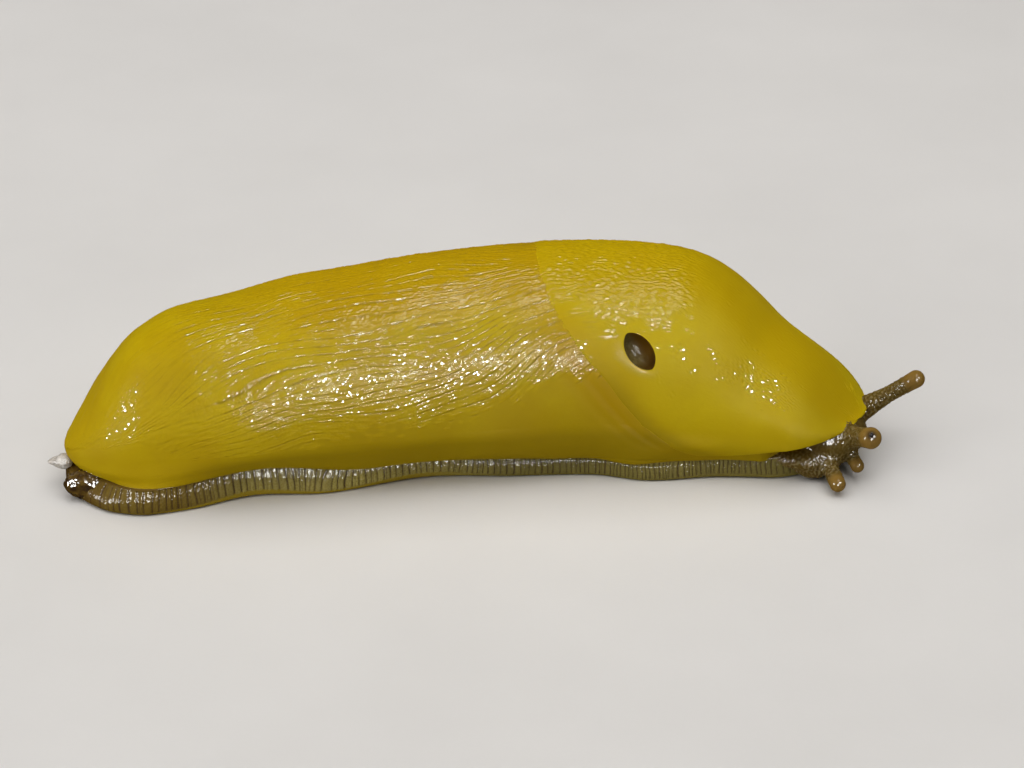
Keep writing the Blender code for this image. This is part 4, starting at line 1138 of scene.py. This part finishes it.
def eye_material():
    n = Nodes("eye_wet")
    colour = n.mix(n.blotches(0.2), (0.006, 0.006, 0.008), (0.03, 0.018, 0.012))
    n.bump(n.noise(0.12, 2), 0.004)
    return n.finish(colour, n.span(n.noise(0.25, 2), 0.3, 0.7, 0.06, 0.14), Coat_Weight=1.0,
                    Coat_Roughness=0.03, IOR=1.42)


def slime_material():
    n = Nodes("slime_white")
    thread = n.span(n.noise(0.35, 4, 0.6, 1.5), 0.35, 0.65)
    colour = n.mix(thread, (0.42, 0.38, 0.32), (0.74, 0.71, 0.66))
    colour = n.mix(n.span(n.noise(1.3, 2), 0.45, 0.7, 0, 0.4), colour, (0.30, 0.23, 0.15))
    n.bump(n.noise(0.18, 3, 0.6, 1.0), 0.04)
    return n.finish(colour, n.span(thread, 0, 1, 0.4, 0.65), Subsurface_Weight=0.4,
                    Subsurface_Radius=(1.0, 0.9, 0.8), Subsurface_Scale=0.0006)


def floor_material():
    n = Nodes("floor_pale")
    colour = n.mix(n.span(n.noise(40, 3), 0.3, 0.7), (0.76, 0.75, 0.73), (0.80, 0.79, 0.77))
    n.bump(n.noise(0.6, 3), 0.02)
    return n.finish(colour, 0.75, Specular_IOR_Level=0.0)


def make_plug():
    """Drop of white slime on the end of the tail: a lumpy cone."""
    points, triangles, lumps = lumpy_ball(PLUG, 71, 0.06, 0.5)
    shell = {"points": points, "quads": np.zeros((0, 4), np.int64), "triangles": triangles,
             "values": values_like(lumps), "paint": 0}
    return shell_object("slime_drop", shell, [slime_material()])


def make_pore_cutter(materials):
    """Almond-shaped pit of the breathing pore, narrowing towards its floor."""
    centre, long_way, short_way, outward = pore_frame()
    angle = np.linspace(0, 2 * math.pi, 129)[:-1]
    along, across = np.cos(angle), np.sin(angle)
    across = np.sign(across) * np.abs(across) ** 1.25
    rings = []
    for depth, wide in ((2.0, 1.3), (0.6, 1.06), (0.1, 1.0), (-0.3, 0.98), (-0.8, 0.94), (-1.3, 0.85),
                        (-1.7, 0.7), (-1.95, 0.46), (-2.05, 0.2)):
        ring = along[:, None] * PORE_SIZE[0] * long_way + across[:, None] * PORE_SIZE[1] * short_way
        rings.append(centre + ring * wide + depth * outward)
    points = np.array(rings)
    return shell_object("pore_cutter", tube(points, values_like(points[..., 0]), PORE), materials)


def make_skin(materials):
    """One skin: the trunk, foot, mantle, head and slime joined into a single closed surface."""
    shells = [make_trunk(), make_foot(), make_mantle(), make_head(), make_mucus()]
    items = [shell_object("shell", shell, materials) for shell in shells]
    for item in items[1:]:
        solve(items[0], item, "UNION")
    solve(items[0], make_pore_cutter(materials), "DIFFERENCE")
    slug = items[0]
    slug.name = slug.data.name = "slug_skin"
    slug.data.shade_smooth()
    return slug


def studio():
    """Plain floor, sky and lamps."""
    floor = bpy.data.meshes.new("floor")
    floor.from_pydata([(-3, -3, 0), (3, -3, 0), (3, 3, 0), (-3, 3, 0)], [], [(0, 1, 2, 3)])
    item = bpy.data.objects.new("floor", floor)
    bpy.context.scene.collection.objects.link(item)
    floor.materials.append(floor_material())
    item.visible_glossy = False
    make_sky()
    sky = lamp("sky", (0.0, 0.0, 0.55), (0, 0, 0.01), 0.7, 2.4, (1.0, 0.98, 0.97))
    front = lamp("front", (-0.46, -0.42, 0.44), (0, 0, 0.01), 0.5, 0.9, (1.0, 0.98, 0.95))
    sky.visible_glossy = front.visible_glossy = False
    for name, where, size, power in SPARKS:
        spark = lamp(name, where, (0, 0, 0.012), size, power, (1.0, 1.0, 1.0))
        spark.visible_diffuse = False


def make_sky():
    """Dim sky with two soft bright parts, one high in front of the slug and one beside its tail."""
    world = bpy.data.worlds.new("studio")
    bpy.context.scene.world = world
    world.use_nodes = True
    tree = world.node_tree
    way = tree.nodes.new("ShaderNodeTexCoord").outputs["Generated"]
    total = None
    for direction, start, full, strength in SKY:
        facing = tree.nodes.new("ShaderNodeVectorMath")
        facing.operation = "DOT_PRODUCT"
        facing.inputs[1].default_value = Vector(direction).normalized()
        tree.links.new(way, facing.inputs[0])
        fade = tree.nodes.new("ShaderNodeMapRange")
        fade.interpolation_type = "SMOOTHSTEP"
        ends = {"From Min": start, "From Max": full, "To Min": SKY_DARK / 2, "To Max": strength}
        for name, number in ends.items():
            fade.inputs[name].default_value = number
        tree.links.new(facing.outputs["Value"], fade.inputs["Value"])
        if total is None:
            total = fade.outputs["Result"]
        else:
            both = tree.nodes.new("ShaderNodeMath")
            tree.links.new(total, both.inputs[0])
            tree.links.new(fade.outputs["Result"], both.inputs[1])
            total = both.outputs[0]
    background = tree.nodes["Background"]
    background.inputs["Color"].default_value = (1.0, 0.975, 0.95, 1)
    tree.links.new(total, background.inputs["Strength"])


def lamp(name, where, target, size, power, colour):
    """Square lamp that faces its target."""
    light = bpy.data.lights.new(name, "AREA")
    light.shape, light.size = "SQUARE", size
    light.energy, light.color = power, colour
    item = bpy.data.objects.new(name, light)
    bpy.context.scene.collection.objects.link(item)
    item.location = where
    item.rotation_euler = (Vector(target) - Vector(where)).to_track_quat("-Z", "Y").to_euler()
    return item


def make_camera():
    """Camera at the photograph's angle."""
    azimuth, height = (math.radians(angle) for angle in CAMERA_ANGLES)
    level = Vector((math.sin(azimuth), -math.cos(azimuth), 0))
    back = level * math.cos(height) + Vector((0, 0, math.sin(height)))
    right = Vector((math.cos(azimuth), math.sin(azimuth), 0))
    up = back.cross(right)
    aim = Vector((-CENTRE[0], -CENTRE[1], AIM_HEIGHT)) + right * AIM_SHIFT[0] + up * AIM_SHIFT[1]
    camera = bpy.data.cameras.new("camera")
    camera.sensor_width, camera.lens = 36, CAMERA_LENS
    item = bpy.data.objects.new("camera", camera)
    bpy.context.scene.collection.objects.link(item)
    matrix = Matrix((right, up, back)).transposed().to_4x4()
    matrix.translation = (aim + back * CAMERA_DISTANCE) * MM
    item.matrix_world = matrix
    bpy.context.scene.camera = item


make_camera()
studio()
slug = make_skin([skin_material("skin_wet", *YELLOWS), skin_material("mantle_wet", *MANTLE_YELLOWS),
                  skirt_material(), head_material(), pore_material(), mucus_material()])
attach(slug, "root")
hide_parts(*FLESH)
drop = make_plug()
drop.data.shade_smooth()
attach(drop, "root")
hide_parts("slime_plug")
eye = eye_material()
for name in ("eye_right", "eye_left"):
    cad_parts[name].data.materials.clear()
    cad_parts[name].data.materials.append(eye)
bpy.context.scene.view_settings.view_transform = "Standard"
